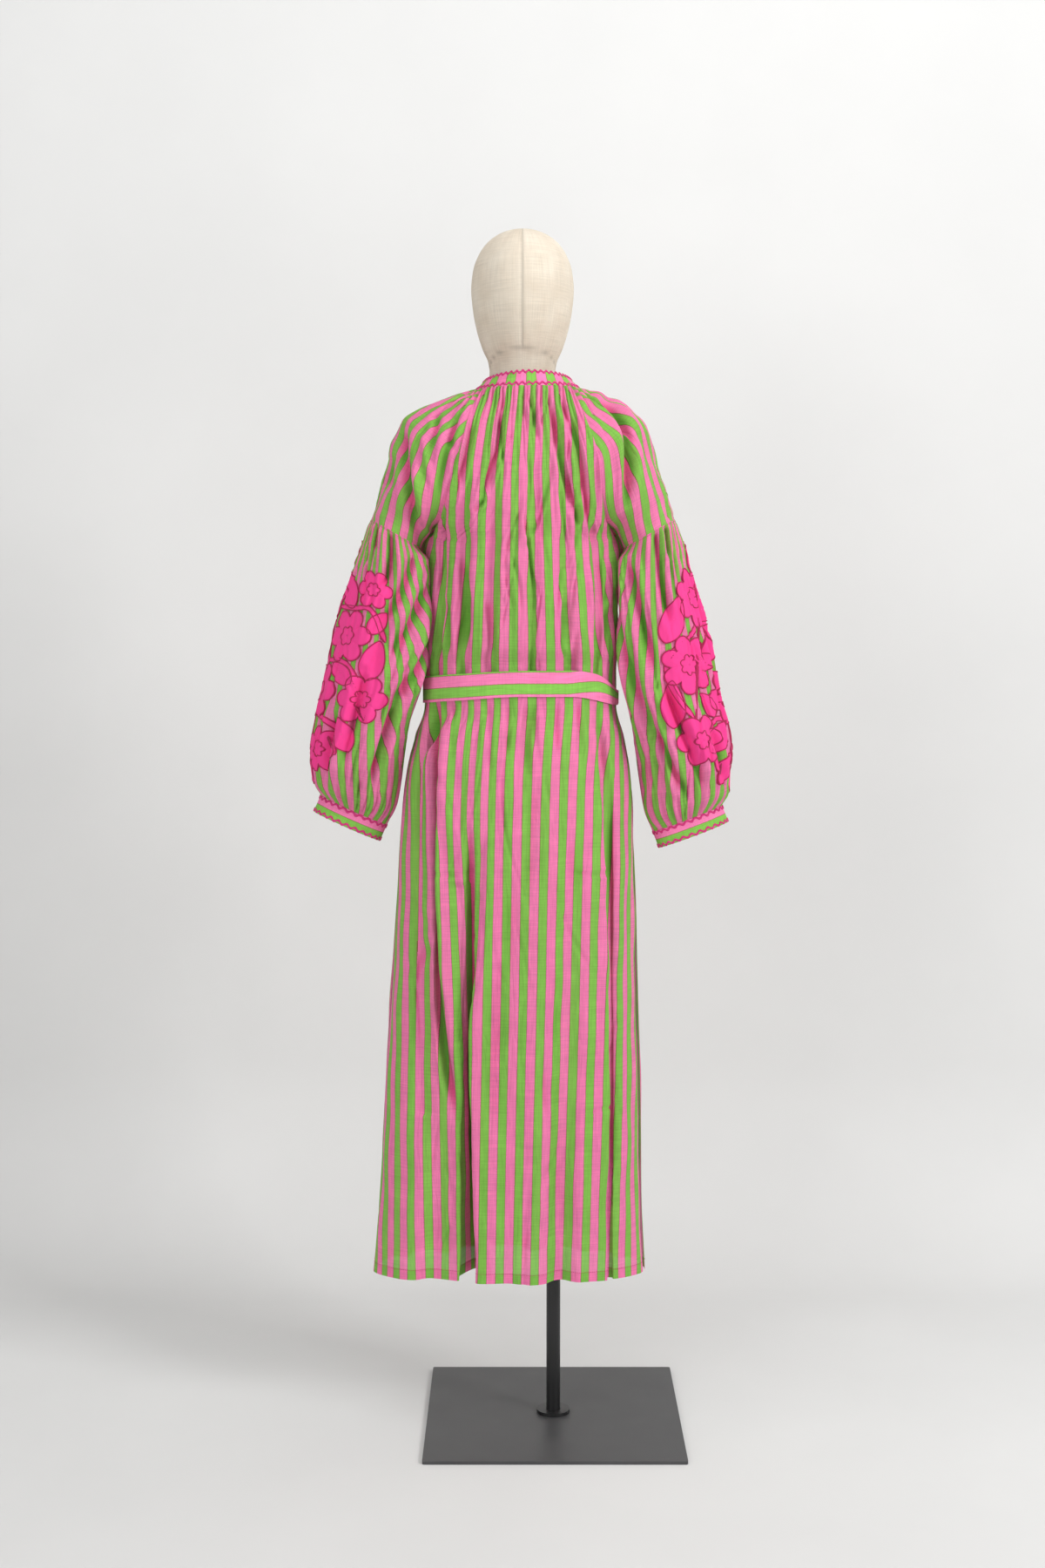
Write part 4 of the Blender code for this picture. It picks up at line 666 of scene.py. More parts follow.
# Creases of the balloons in flat cloth: points (u, v) from the outer arm line and the seam, u negative at
# the back.
BALLOON_CREASES = {
    -1: [
        ([(-0.105, 0.000), (-0.112, 0.060), (-0.100, 0.120)], 0.0050, 0.0060),
        ([(-0.070, 0.000), (-0.076, 0.050)], 0.0030, 0.0050),
        ([(-0.150, 0.030), (-0.135, 0.110), (-0.105, 0.180)], 0.0060, 0.0080),
        ([(-0.185, 0.080), (-0.150, 0.170), (-0.115, 0.260)], 0.0060, 0.0090),
        ([(-0.205, 0.160), (-0.170, 0.250), (-0.140, 0.330)], 0.0050, 0.0080),
        ([(-0.130, 0.200), (-0.118, 0.300), (-0.122, 0.380)], -0.0040, 0.0090),
        ([(-0.095, 0.250), (-0.098, 0.340), (-0.088, 0.430)], 0.0050, 0.0060),
        ([(-0.160, 0.300), (-0.150, 0.380), (-0.140, 0.440)], 0.0050, 0.0060),
        ([(-0.060, 0.330), (-0.062, 0.390), (-0.056, 0.440)], 0.0035, 0.0050),
        ([(0.040, 0.300), (0.044, 0.380), (0.040, 0.440)], 0.0035, 0.0060),
        ([(0.090, 0.010), (0.096, 0.120), (0.092, 0.260)], 0.0045, 0.0080),
        ([(0.140, 0.040), (0.130, 0.200), (0.126, 0.400)], 0.0050, 0.0080),
        ([(0.180, 0.120), (0.160, 0.260), (0.150, 0.420)], 0.0050, 0.0080),
    ],
    1: [
        ([(-0.105, 0.000), (-0.100, 0.090), (-0.094, 0.180)], 0.0050, 0.0060),
        ([(-0.080, 0.000), (-0.082, 0.060)], 0.0030, 0.0050),
        ([(-0.160, 0.040), (-0.140, 0.140), (-0.128, 0.260)], 0.0060, 0.0080),
        ([(-0.190, 0.120), (-0.170, 0.250), (-0.150, 0.380)], 0.0050, 0.0080),
        ([(-0.012, 0.100), (-0.020, 0.220), (-0.014, 0.340), (0.000, 0.430)], 0.0060, 0.0050),
        ([(-0.120, 0.260), (-0.100, 0.360), (-0.080, 0.440)], 0.0055, 0.0060),
        ([(-0.150, 0.330), (-0.130, 0.400), (-0.112, 0.445)], 0.0045, 0.0060),
        ([(-0.050, 0.340), (-0.044, 0.400), (-0.038, 0.440)], 0.0035, 0.0050),
        ([(0.048, 0.320), (0.044, 0.390), (0.040, 0.440)], 0.0035, 0.0060),
        ([(0.090, 0.010), (0.096, 0.120), (0.092, 0.260)], 0.0045, 0.0080),
        ([(0.140, 0.040), (0.130, 0.200), (0.126, 0.400)], 0.0050, 0.0080),
        ([(0.180, 0.120), (0.160, 0.260), (0.150, 0.420)], 0.0050, 0.0080),
    ],
}


def rounded_line(points, times=2):
    """The points with their corners cut off, which leaves a soft curve."""
    points = np.array(points, float)
    for _ in range(times):
        cut = np.stack([between(points[:-1], points[1:], share) for share in (0.25, 0.75)], 1)
        points = np.concatenate([points[:1], cut.reshape(-1, 2), points[-1:]])
    return points


def crease_depth(flat, creases):
    """How far the creases push in the cloth at each place: a trough with a low ridge along both sides."""
    depth = np.zeros(flat.shape[:-1])
    for points, deep, half in creases:
        line = rounded_line(points)
        near = ((flat > line.min(0) - 5 * half) & (flat < line.max(0) + 5 * half)).all(-1)
        here = flat[near]
        if not len(here):
            continue
        run = run_along(line) / run_along(line)[-1]
        best, along = np.full(len(here), 9.0), np.zeros(len(here))
        for a, b, start, end in zip(line, line[1:], run, run[1:]):
            share = np.clip((here - a) @ (b - a) / ((b - a) @ (b - a)), 0, 1)
            gap = np.linalg.norm(here - between(a, b, share[:, None]), axis=1)
            along = np.where(gap < best, between(start, end, share), along)
            best = np.minimum(best, gap)
        reach = best / (1.1 * half)
        shape = hill(reach) - 0.35 * np.exp(-((reach - 2.1) ** 2) / 0.9)
        ends = smoothstep(along * 5 + 0.35) * smoothstep((1 - along) * 3)
        depth[near] += 2.6 * min(1.0, (WIDE_CREASE / half) ** 1.2) * deep * shape * ends
    return depth


def gathers(place, down, count, height, reach, seed):
    """How far uneven gathers stand out, at a place (0 to 1) along their seam and so many metres down."""
    random = np.random.RandomState(seed)
    widths = random.uniform(0.62, 1.5, count)
    edges = np.concatenate([[0.0], np.cumsum(widths)]) / widths.sum()
    tall, long = random.uniform(0.5, 1.35, count), reach * random.uniform(0.35, 1.9, count)
    which = np.clip(np.searchsorted(edges, place, side="right") - 1, 0, count - 1)
    local = np.clip((place - edges[which]) / (edges[which + 1] - edges[which]), 0, 1)
    lobe = np.sin(math.pi * local) ** 0.55 - 0.58
    rise = 0.55 + 0.45 * smoothstep(down / 0.010)
    return height * tall[which] * lobe * rise * np.exp(-((down / long[which]) ** 1.4))


def ripple(u, v, seed, size, height):
    """A slow unevenness that hanging cloth keeps, from a few long waves."""
    random = np.random.RandomState(seed)
    total = np.zeros_like(u)
    for _ in range(7):
        turn, phase = random.uniform(0, 2 * math.pi, 2)
        wave = size * random.uniform(0.6, 1.8)
        total += np.sin((u * math.cos(turn) * 1.5 + v * math.sin(turn) * 0.7) * 2 * math.pi / wave + phase)
    return total * height / 3


def wrinkles(u, v, seed, count, low, high, long, deep, half):
    """Small uneven creases that mostly run along the cloth, sharp across and soft at their ends."""
    random = np.random.RandomState(seed)
    total = np.zeros_like(u)
    for _ in range(count):
        down = v - random.uniform(low[1], high[1])
        lean, bend = random.normal(0, 0.17), random.normal(0, 1.3)
        aside = u - random.uniform(low[0], high[0]) - lean * down - bend * down**2
        aside = np.abs(aside) / (half * random.uniform(0.7, 1.5))
        ends = np.exp(-((down / (long * random.uniform(0.4, 1.5))) ** 4))
        total += deep * random.uniform(0.3, 1.2) * ends * (hill(aside) - 0.4 * hill(aside - 2.0))
    return total


def surface_normals(grid, outward):
    normals = unit(np.cross(np.gradient(grid, axis=0), np.gradient(grid, axis=1)))
    return normals if (normals * outward).sum() > 0 else -normals


def painted_crease_shades(out, pushed=0.0):
    """Where the cloth lies in creases and deep folds, from 0 to 1: painted shade, by which the voile's colour
    is darkened there.
    """
    return np.clip((-out - 0.0012) / 0.0060, 0, 1) + 0.35 * np.clip((pushed - 0.01) / 0.030, 0, 1)


def evenly(line_at, first, last, count, probes):
    """Levels from first to last that lie evenly spaced along the line that line_at(level) follows."""
    probe = np.linspace(first, last, probes)
    run = run_along(np.array([line_at(level) for level in probe]))
    return np.interp(np.linspace(0, run[-1], count + 1), run, probe)


def yoke_levels():
    """Stations from the neck ring to the underarm, as evenly spaced along the raglan seam as they can be."""
    return evenly(lambda station: raglan_curve(1, station, -1.0), 0, UNDERARM, YOKE_ROWS, 141)


def panel_levels(face):
    below = evenly(lambda level: body_row(face, level)[1], UNDERARM, LAST_LEVEL, SKIRT_ROWS, 221)
    return np.concatenate([yoke_levels(), below[1:]])


def cloth_rows(levels, columns, row_at, flat_at, path):
    """Evenly spaced points of each level's row, their places across (-1 to 1) and their flat cloth places.

    row_at(level) gives a row's dense points, and flat_at(level) how far each lies across the flat cloth.
    The length down the cloth is measured along path."""
    across = np.linspace(-1, 1, DENSE)
    grid, places, flats = [], [], []
    for level, down in zip(levels, run_along(path)):
        dense = row_at(level)
        run = run_along(dense)
        at = np.linspace(0, run[-1], columns + 1)
        grid.append(at_runs(dense, run, at))
        places.append(np.interp(at, run, across))
        flats.append(laid(np.interp(places[-1], across, flat_at(level)), down))
    return np.array(grid), np.array(places), np.array(flats)


def flat_run(row, kind, level):
    """How far across the flat cloth each point of a dense row lies, from the row's middle."""
    run = run_along(row)
    return (run - run[DENSE // 2]) * FULLNESS.read(kind, level)


def shares_of(rows, columns):
    """The share across, from 0 to 1, of each point of a grid."""
    return np.linspace(0, 1, columns + 1)[None, :] + np.zeros((rows, 1))


def panel_cloth(face, columns):
    """Points, outward normals, flat cloth places and painted crease shade of the back (-1) or front (1) of
    the body.
    """
    folds = BACK_FOLDS if face < 0 else FRONT_FOLDS
    levels = panel_levels(face)
    across = np.linspace(-1, 1, DENSE)
    path = np.array([body_row(face, level)[1] for level in levels])

    def pushed_at(level):
        depth = fold_depth(folds, body_row(face, level)[1][2], fold_place(level, across), across)
        return depth * float(smoothstep(level / 3))

    def row_at(level):
        return folded_row(lambda k, a: body_curve(face, k, a), level, pushed_at(level), face)

    def flat_at(level):
        z, place = body_row(face, level)[1][2], fold_place(level, across)
        flat = flat_run(body_curve(face, level, across), "panel", level)
        for f in folds:  # a deep fold takes up its own cloth, which is gathered above it
            if f["depth_low"] < DEEP_FOLD:
                continue
            part = np.clip((z - f["z_top"]) / (f["z_low"] - f["z_top"]), 0, 1)
            centre = between(f["across_top"], f["across_low"], part)
            extra = 0.6 * f["depth_low"] * (0.6 + 0.4 * part) * float(smoothstep((1.115 - z) / 0.03))
            spread = f["half_width"] * (1.3 + 2.2 * (1 - part) ** 2)
            flat = flat + extra * (smoothstep((place - centre) / spread + 0.5) - (centre < 0))
        return flat

    grid, places, flats = cloth_rows(levels, columns, row_at, flat_at, path)
    pushed = np.array([np.interp(row, across, pushed_at(level)) for row, level in zip(places, levels)])
    outward = np.array([0.0, float(face), 0.0])
    normals = surface_normals(grid, outward)
    for i, level in enumerate(levels):
        normals[i, 0], normals[i, -1] = seam_normals(face, -1, level), seam_normals(face, 1, level)
    share, run = shares_of(len(levels), columns), flats[..., 1]
    x, z = grid[..., 0], grid[..., 2]
    waist, edge = z - WAIST_Z, 1 - np.abs(places)
    out = gathers(share, run, 25, 0.0060, 0.100, 11 + face)
    out += gathers(share, np.maximum(-waist - 0.012, 0), 34, 0.0026, 0.060, 23 + face) * (waist < 0)
    out += gathers(share, np.maximum(waist - 0.012, 0), 26, 0.0028, 0.050, 27 + face) * (waist >= 0)
    out *= 1 - np.exp(-((waist / 0.030) ** 4)) * 0.9
    out += ripple(flats[..., 0], run, 5 + face, 0.085, 0.0014) * smoothstep(run / 0.1)
    out -= crease_depth(grid[..., [0, 2]], BODICE_CREASES + SKIRT_CREASES if face < 0 else FRONT_CREASES)
    out -= wrinkles(x, z, 81 + face, 70, (-0.14, 1.14), (0.14, 1.50), 0.045, 0.0026, 0.0021)
    out -= wrinkles(x, z, 85 + face, 50, (-0.17, 0.26), (0.16, 1.08), 0.090, 0.0017, 0.0028)
    out *= smoothstep(edge * 14)
    grid = closed_folds(grid, pushed, CLOSING_FOLDS[face])
    flats[..., 0] += grid[..., 0] - x  # the stripes hang straight and run into the fold
    beside = hill((z - 1.290) / 0.036) * smoothstep((1.334 - z) / 0.014) * smoothstep((0.28 - edge) / 0.28)
    grid[..., 0] += np.sign(places) * SIDE_FILL * beside
    out -= SEAM_PULL * hill(edge / 0.02)
    out *= 1 - 0.85 * np.exp(-((waist / 0.020) ** 4))
    grid = grid + normals * out[..., None]
    return grid, surface_normals(grid, outward), flats, painted_crease_shades(out, pushed)


# Long folds whose lips come together: points (x, z) down the fold, how far from it the lips stand, how far
# they close, how deep a point has to lie to stay where it is, and how many times as far the right lip comes.
CLOSING_FOLDS = {
    -1: [
        ([(-0.074, 0.850), (-0.074, 0.718), (-0.072, 0.464), (-0.070, 0.200)], 0.030, 0.019, 0.020, 1.7),
        ([(-0.127, 1.070), (-0.128, 0.844), (-0.129, 0.591), (-0.110, 0.440)], 0.020, 0.009, 0.008, 0.7),
        ([(0.127, 0.990), (0.132, 0.781), (0.137, 0.598), (0.133, 0.200)], 0.020, 0.008, 0.008, 1.3),
    ],
    1: [
        ([(-0.070, 1.000), (-0.076, 0.700), (-0.078, 0.200)], 0.026, 0.012, 0.012, 1.4),
        ([(0.030, 0.900), (0.028, 0.600), (0.026, 0.200)], 0.026, 0.011, 0.010, 0.8),
    ],
}


def closed_folds(grid, pushed, folds):
    """Draws the lips of the deepest folds together, so that each hangs as a dark line, not as a channel."""
    grid = grid.copy()
    z = grid[..., 2]
    for points, reach, closing, deep, over in folds:
        line = rounded_line(points)[::-1]
        low, high = line[0, 1], line[-1, 1]
        grows = smoothstep((high - z) / (0.45 * (high - low))) * (z < high)
        aside = grid[..., 0] - np.interp(z, line[:, 1], line[:, 0])
        lip = hill(np.abs(aside) / (2.6 * reach)) * np.tanh(np.abs(aside) / (0.3 * reach))
        stays = np.clip(pushed / deep, 0, 1) ** 2
        grid[..., 0] -= np.sign(aside) * closing * np.where(aside > 0, over, 1.0) * lip * grows * (1 - stays)
    return grid


def raglan_cloth(side, columns=150):
    """Points, normals, flat places and painted crease shade of a raglan sleeve, from its back seam to its
    front one.
    """
    stations = np.concatenate([yoke_levels(), np.linspace(UNDERARM, SLEEVE_SEAM, 12)[1:]])
    across = np.linspace(-1, 1, DENSE)
    row_at = lambda station: raglan_curve(side, station, across)
    path = np.array([raglan_curve(side, station, 0.0) for station in stations])
    grid, _, flats = cloth_rows(stations, columns, row_at, lambda k: flat_run(row_at(k), "sleeve", k), path)
    outward = np.array([float(side), 0.0, 0.3])
    normals = surface_normals(grid, outward)
    for i, station in enumerate(stations):
        if station <= UNDERARM:
            normals[i, 0], normals[i, -1] = seam_normals(-1, side, station), seam_normals(1, side, station)
        else:
            normals[i, 0] = normals[i, -1] = unit(normals[i, 1] + normals[i, -2])
    share, run = shares_of(len(stations), columns), flats[..., 1]
    edge = np.minimum(share, 1 - share)
    out = gathers(share, run, 12, 0.0056, 0.095, 41 + side)
    out += ripple(flats[..., 0], run, 45 + side, 0.080, 0.0020) * smoothstep(run / 0.08)
    out -= crease_depth(grid[..., [0, 2]], SLEEVE_CREASES[side]) * np.where(share < 0.5, 1.0, 0.6)
    out -= wrinkles(flats[..., 0], run, 91 + side, 36, (-0.11, 0.02), (0.11, 0.26), 0.040, 0.0024, 0.0022)
    out *= smoothstep(edge * 16) * smoothstep((SLEEVE_SEAM - stations) / 0.5)[:, None]
    out -= SEAM_PULL * hill(edge / 0.012) * (stations < UNDERARM - 0.2)[:, None]
    grid = grid + normals * out[..., None]
    grid[stations >= UNDERARM, -1] = grid[stations >= UNDERARM, 0]
    return grid, surface_normals(grid, outward), flats, painted_crease_shades(out)


BALLOON_CUT = {"width": 0.450, "length": 0.470}  # flat width round the arm, and length from seam to cuff
INWARD = {-1: 0.0125, 1: 0.0085}  # how far the back of each balloon leans in over the body's side
BACKWARD = 0.017  # and how far it stands back there
STRIPE_LEAN = {-1: 0.150, 1: 0.070}  # how far the stripes start towards the underarm at the top of the back


def balloon_cloth(side, columns=240, rows=190):
    """Points, normals, flat places and painted crease shade of a balloon, from the seam at mid-arm to the
    cuff.
    """
    line_at = lambda down: balloon_curve(side, down, 0.0)
    downs = evenly(line_at, 0, 1, rows, 201)
    length = run_along(np.array([line_at(down) for down in np.linspace(0, 1, 201)]))[-1]
    around = np.linspace(-1, 1, DENSE)
    grid, normals = [], []
    for down in downs:
        ring = balloon_curve(side, down, around)
        middle = ring[:-1].mean(0)
        ends = smoothstep(down * 6) * smoothstep((1 - down) * 6)
        ring = ring - unit(ring - middle) * (fold_depth(BALLOON_FOLDS, down, around, around) * ends)[:, None]
        run = run_along(ring)
        grid.append(at_runs(ring, run, np.linspace(0, run[-1], columns + 1)))
        normals.append(unit(grid[-1] - middle))
    grid, normals = np.array(grid), np.array(normals)
    share = shares_of(rows + 1, columns)
    v = np.linspace(0, length, rows + 1)[:, None] + 0 * share
    u = (share - 0.5) * BALLOON_CUT["width"]
    out = gathers(share, v, 40, 0.0050, 0.100, 61 + side)
    out += gathers(share, length - v, 34, 0.0068, 0.100, 71 + side)
    out -= wrinkles(u, v, 95 + side, 110, (-0.22, 0.02), (0.22, 0.43), 0.050, 0.0030, 0.0022)
    out += ripple(u, v, 65 + side, 0.080, 0.0018) * smoothstep(v / 0.05) * smoothstep((length - v) / 0.05)
    out -= crease_depth(laid(u, v * BALLOON_CUT["length"] / length), BALLOON_CREASES[side])
    out *= 0.30 + 0.70 * smoothstep(v / 0.012) * smoothstep((length - v) / 0.012)
    seam = smoothstep(np.minimum(share, 1 - share) * 25)
    swell = hill((share - 0.085) / 0.080) * smoothstep(v / 0.024) * (1 - smoothstep((v - 0.20) / 0.11)) * seam
    grid = grid + normals * (out * seam)[..., None]
    grid = grid + swell[..., None] * np.array([-side * INWARD[side], -BACKWARD, 0.0])
    grid[:, -1], normals[:, -1] = grid[:, 0], normals[:, 0]
    lean = STRIPE_LEAN[side] * (1 - v / length) ** 1.2 * smoothstep((-u - 0.02) / 0.16)
    return grid, normals, laid(u - lean, v), painted_crease_shades(out)


# --- meshes ---------------------------------------------------------------------------------


def grid_sheet(name, grid, flat, key, extra=None, weld=False, cut=None):
    """A sheet from bmesh's own grid with its vertices on a grid of points, and flat metres as its UV map.

    cut(row, column) is true for cells that are left out. extra holds named values for each vertex."""
    rows, columns = grid.shape[0] - 1, grid.shape[1] - 1
    bm = bmesh.new()
    bmesh.ops.create_grid(bm, x_segments=columns, y_segments=rows, size=1.0)
    bm.verts.ensure_lookup_table()
    seen = np.array([v.co for v in bm.verts])
    c = np.rint((seen[:, 0] + 1) / 2 * columns).astype(int)
    r = np.rint((1 - seen[:, 1]) / 2 * rows).astype(int)
    if cut is not None:
        corners = [(face, [v.index for v in face.verts]) for face in bm.faces]
        gone = [face for face, corner in corners if cut(r[corner].min(), c[corner].min())]
        bmesh.ops.delete(bm, geom=gone, context="FACES_ONLY")
    mesh = bpy.data.meshes.new(name)
    bm.to_mesh(mesh)
    bm.free()
    mesh.vertices.foreach_set("co", (grid[r, c] + [GARMENT_X, 0, 0]).astype(np.float32).ravel())
    corners = np.zeros(len(mesh.loops), int)
    mesh.loops.foreach_get("vertex_index", corners)
    mesh.uv_layers.new(name="cloth").data.foreach_set("uv", flat[r, c][corners].astype(np.float32).ravel())
    for value_name, values in (extra or {}).items():
        stored = mesh.attributes.new(value_name, "FLOAT", "POINT")
        stored.data.foreach_set("value", values[r, c].astype(np.float32).ravel())
    bm = bmesh.new()
    bm.from_mesh(mesh)
    if weld:
        bmesh.ops.remove_doubles(bm, verts=bm.verts, dist=0.00002)
    bmesh.ops.delete(bm, geom=[v for v in bm.verts if not v.link_faces], context="VERTS")
    bm.to_mesh(mesh)
    bm.free()
    return finished(name, mesh, key)


def finished(name, mesh, key):
    """An object of the mesh in its finish, which rides on the body."""
    mesh.shade_smooth()
    mesh.materials.append(material(key))
    made = bpy.data.objects.new(name, mesh)
    bpy.context.collection.objects.link(made)
    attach(made, "root")
    return made


def outward_faces(made, outward=None):
    """Turns a sheet's faces to the side that most of them should look to, which is away from its middle."""
    mesh = made.data
    normals, centres = np.zeros(len(mesh.polygons) * 3), np.zeros(len(mesh.polygons) * 3)
    mesh.polygons.foreach_get("normal", normals)
    mesh.polygons.foreach_get("center", centres)
    centres = centres.reshape(-1, 3)
    way = centres - centres.mean(0) if outward is None else outward
    if (normals.reshape(-1, 3) * way).sum() < 0:
        mesh.flip_normals()


def stands_for(made, node, outward=None):
    """Turns a sheet's faces out and puts it in the place of its CAD node."""
    outward_faces(made, outward)
    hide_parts(node)
    return made


def as_strip(outer, inner, steps=5):
    """A band's cross-section as a grid: up the inner side, over its upper edge and down the outer one."""
    (top_out, bottom_out), (top_in, bottom_in) = outer, inner
    rows = [between(bottom_in, top_in, s) for s in np.linspace(0, 0.94, steps)]
    for turn in np.linspace(0, math.pi, 5)[1:-1]:
        below = (bottom_in - top_in) * 0.06 * (1 - math.sin(turn))
        rows.append(between(top_in, top_out, (1 - math.cos(turn)) / 2) + below)
    rows += [between(top_out, bottom_out, s) for s in np.linspace(0.06, 1.0, steps * 3)]
    return np.array(rows)


# --- materials ------------------------------------------------------------------------------


def linear(code):
    """A linear colour from an sRGB hex value."""
    parts = [int(code[i : i + 2], 16) / 255 for i in (1, 3, 5)]
    return (*[p / 12.92 if p <= 0.04045 else ((p + 0.055) / 1.055) ** 2.4 for p in parts], 1.0)


def add(tree, kind, settings=None, out=0, **sockets):
    """Adds one node, sets or links its inputs, named or counted (i0, i1, ...), and gives back an output.

    settings are the node's own, with a colour ramp's stops among them, or the name of its operation."""
    made = tree.nodes.new("ShaderNode" + kind)
    settings = {"operation": settings} if isinstance(settings, str) else dict(settings or {})
    stops = settings.pop("stops", ())
    while stops and len(made.color_ramp.elements) < len(stops):
        made.color_ramp.elements.new(0.5)
    for i, (at, colour) in enumerate(stops):
        made.color_ramp.elements[i].position, made.color_ramp.elements[i].color = at, colour
    for key, value in settings.items():
        setattr(made, key, value)
    for key, value in sockets.items():
        counted = key[0] == "i" and key[1:].isdigit()
        socket = made.inputs[int(key[1:])] if counted else made.inputs[key.replace("_", " ")]
        if isinstance(value, bpy.types.NodeSocket):
            tree.links.new(value, socket)
        else:
            socket.default_value = value
    return made.outputs[out] if len(made.outputs) else None


def new_material(name):
    made = bpy.data.materials.new(name)
    made.use_nodes = True
    made.node_tree.nodes.clear()
    return made, made.node_tree


def mottled(tree, place, scale, detail, codes):
    """A slow wander between two colours, and the pattern behind it."""
    patch = add(tree, "TexNoise", Vector=place, Scale=scale, Detail=detail)
    stops = [(0.30, linear(codes[0])), (0.70, linear(codes[1]))]
    return add(tree, "ValToRGB", {"stops": stops}, Fac=patch), patch


def plain_weave(tree, place, thread, colour, strength, slub=0.5, **under):
    """Crossing threads with slubs, as colour and bump. thread is their spacing, in metres as place is."""
    u, v = (add(tree, "SeparateXYZ", out=axis, i0=place) for axis in "XY")
    streaks = []
    for across, along in ((u, v), (v, u)):
        fine = add(tree, "Math", "MULTIPLY", i0=across, i1=0.62 / thread)
        slow = add(tree, "Math", "MULTIPLY", i0=along, i1=0.018 / thread)
        there = add(tree, "CombineXYZ", X=fine, Y=slow, Z=0.0)
        streaks.append(add(tree, "TexNoise", Vector=there, Scale=1.0, Detail=3.0, Roughness=0.6))
    both = add(tree, "Math", "ADD", i0=streaks[0], i1=streaks[1])
    light, dark = 1 + slub * 0.22, 1 - slub * 0.30
    tone = add(tree, "MapRange", Value=both, From_Min=0.72, From_Max=1.28, To_Min=dark, To_Max=light)
    shaded = add(tree, "VectorMath", "SCALE", i0=colour, Scale=tone)
    turns = [add(tree, "Math", "MULTIPLY", i0=axis, i1=2 * math.pi / thread) for axis in (u, v)]
    waves = [add(tree, "Math", "SINE", i0=turn) for turn in turns]
    threads = add(tree, "Math", "MULTIPLY", i0=add(tree, "Math", "ADD", i0=waves[0], i1=waves[1]), i1=0.22)
    height = add(tree, "Math", "ADD", i0=both, i1=threads)
    return shaded, add(tree, "Bump", Strength=strength, Distance=0.0005, Height=height, **under)


def striped_voile(name, see_through, cover):
    """Slub cotton voile, yarn-dyed in stripes: fine uneven threads, soft sheen, light through one layer."""
    set_to = bpy.context.scene.kaftan
    made, tree = new_material(name)
    place = add(tree, "UVMap", {"uv_map": "cloth"})
    u = add(tree, "SeparateXYZ", out="X", i0=place)
    whole = set_to.pink_width + set_to.green_width
    waver_at = add(tree, "VectorMath", "MULTIPLY", i0=place, i1=(90.0, 420.0, 0.0))
    waver = add(tree, "TexNoise", Vector=waver_at, Scale=1.0, Detail=2.0)
    shift = add(tree, "MapRange", Value=waver, From_Min=0.2, From_Max=0.8, To_Min=-0.012, To_Max=0.012)
    pairs = add(tree, "Math", "MULTIPLY", i0=u, i1=1 / whole)
    moved = add(tree, "Math", "ADD", i0=pairs, i1=shift)
    moved = add(tree, "Math", "ADD", i0=moved, i1=100 + set_to.stripe_start)
    pink, green, dark = (linear(code) for code in (set_to.pink, set_to.green, set_to.border))
    edge, line = set_to.pink_width / whole, set_to.line_width / whole
    half, end = line * 0.5, line * 0.4
    soft = 0.006
    stops = [(0.0, dark), (end, dark), (end + soft, pink), (edge - half - soft, pink), (edge - half, dark)]
    stops += [(edge + half, dark), (edge + half + soft, green), (1 - end - soft, green), (1 - end, dark)]
    colour = add(tree, "ValToRGB", {"stops": stops}, Fac=add(tree, "Math", "FRACT", i0=moved))
    blotch = add(tree, "TexNoise", Vector=place, Scale=38.0, Detail=3.0)
    tone = add(tree, "MapRange", Value=blotch, From_Min=0.3, From_Max=0.7, To_Min=0.94, To_Max=1.05)
    colour = add(tree, "VectorMath", "SCALE", i0=colour, Scale=tone)
    # painted shade: the colour is darkened where the sheet's attribute marks creases and deep folds, standing
    # in for the shade that falls there
    painted_crease_shade = add(tree, "Attribute", {"attribute_name": "painted_crease_shade"}, "Fac")
    deep = add(tree, "Math", "MULTIPLY", i0=painted_crease_shade, i1=0.55)
    rest = add(tree, "Math", "SUBTRACT", i0=1.0, i1=add(tree, "Math", "MULTIPLY", i0=deep, i1=1.25))
    twice = add(tree, "VectorMath", "MULTIPLY_ADD", i0=colour, i1=deep, i2=rest)
    colour = add(tree, "VectorMath", "MULTIPLY", i0=colour, i1=twice)
    # small sharp creases that unpressed voile keeps, long down the cloth and some 15 mm apart
    crease_at = add(tree, "VectorMath", "MULTIPLY", i0=place, i1=(62.0, 9.0, 0.0))
    crease = add(tree, "TexNoise", Vector=crease_at, Scale=1.0, Detail=2.0, Distortion=0.4)
    ridge = add(tree, "Math", "ABSOLUTE", i0=add(tree, "Math", "SUBTRACT", i0=crease, i1=0.5))
    fold = add(tree, "MapRange", Value=ridge, From_Min=0.0, From_Max=0.09, To_Min=0.0, To_Max=1.0)
    crinkled = add(tree, "Bump", Strength=0.55, Distance=0.0010, Height=fold)
    # voile threads lie about 0.35 mm apart; they are drawn 0.9 mm apart so that they show
    colour, normal = plain_weave(tree, place, 0.0009, colour, 0.35, Normal=crinkled)
    cloth = add(
        tree, "BsdfPrincipled", Base_Color=colour, Roughness=0.82, Normal=normal,
        Sheen_Weight=0.07, Sheen_Roughness=0.45, Specular_IOR_Level=0.22, Alpha=cover,
    )
    through = add(tree, "BsdfTranslucent", Color=colour, Normal=normal)
    add(tree, "OutputMaterial", Surface=add(tree, "MixShader", Fac=see_through, i1=cloth, i2=through))
    return made


def pink_cotton(name, codes, thread, strength):
    """Hot-pink cotton for the applique, the ric-rac and the stitches, drawn as one plain weave: matt, with a
    faint sheen.

    Its threads are drawn about 1 mm apart, twice their real spacing, so that they show."""
    made, tree = new_material(name)
    place = add(tree, "UVMap", {"uv_map": "cloth"})
    colour, _ = mottled(tree, place, 60.0, 3.0, codes)
    colour, normal = plain_weave(tree, place, thread, colour, strength, 0.6)
    cloth = add(
        tree, "BsdfPrincipled", Base_Color=colour, Roughness=0.80, Normal=normal,
        Sheen_Weight=0.12, Sheen_Roughness=0.5, Specular_IOR_Level=0.22,
    )
    add(tree, "OutputMaterial", Surface=cloth)
    return made


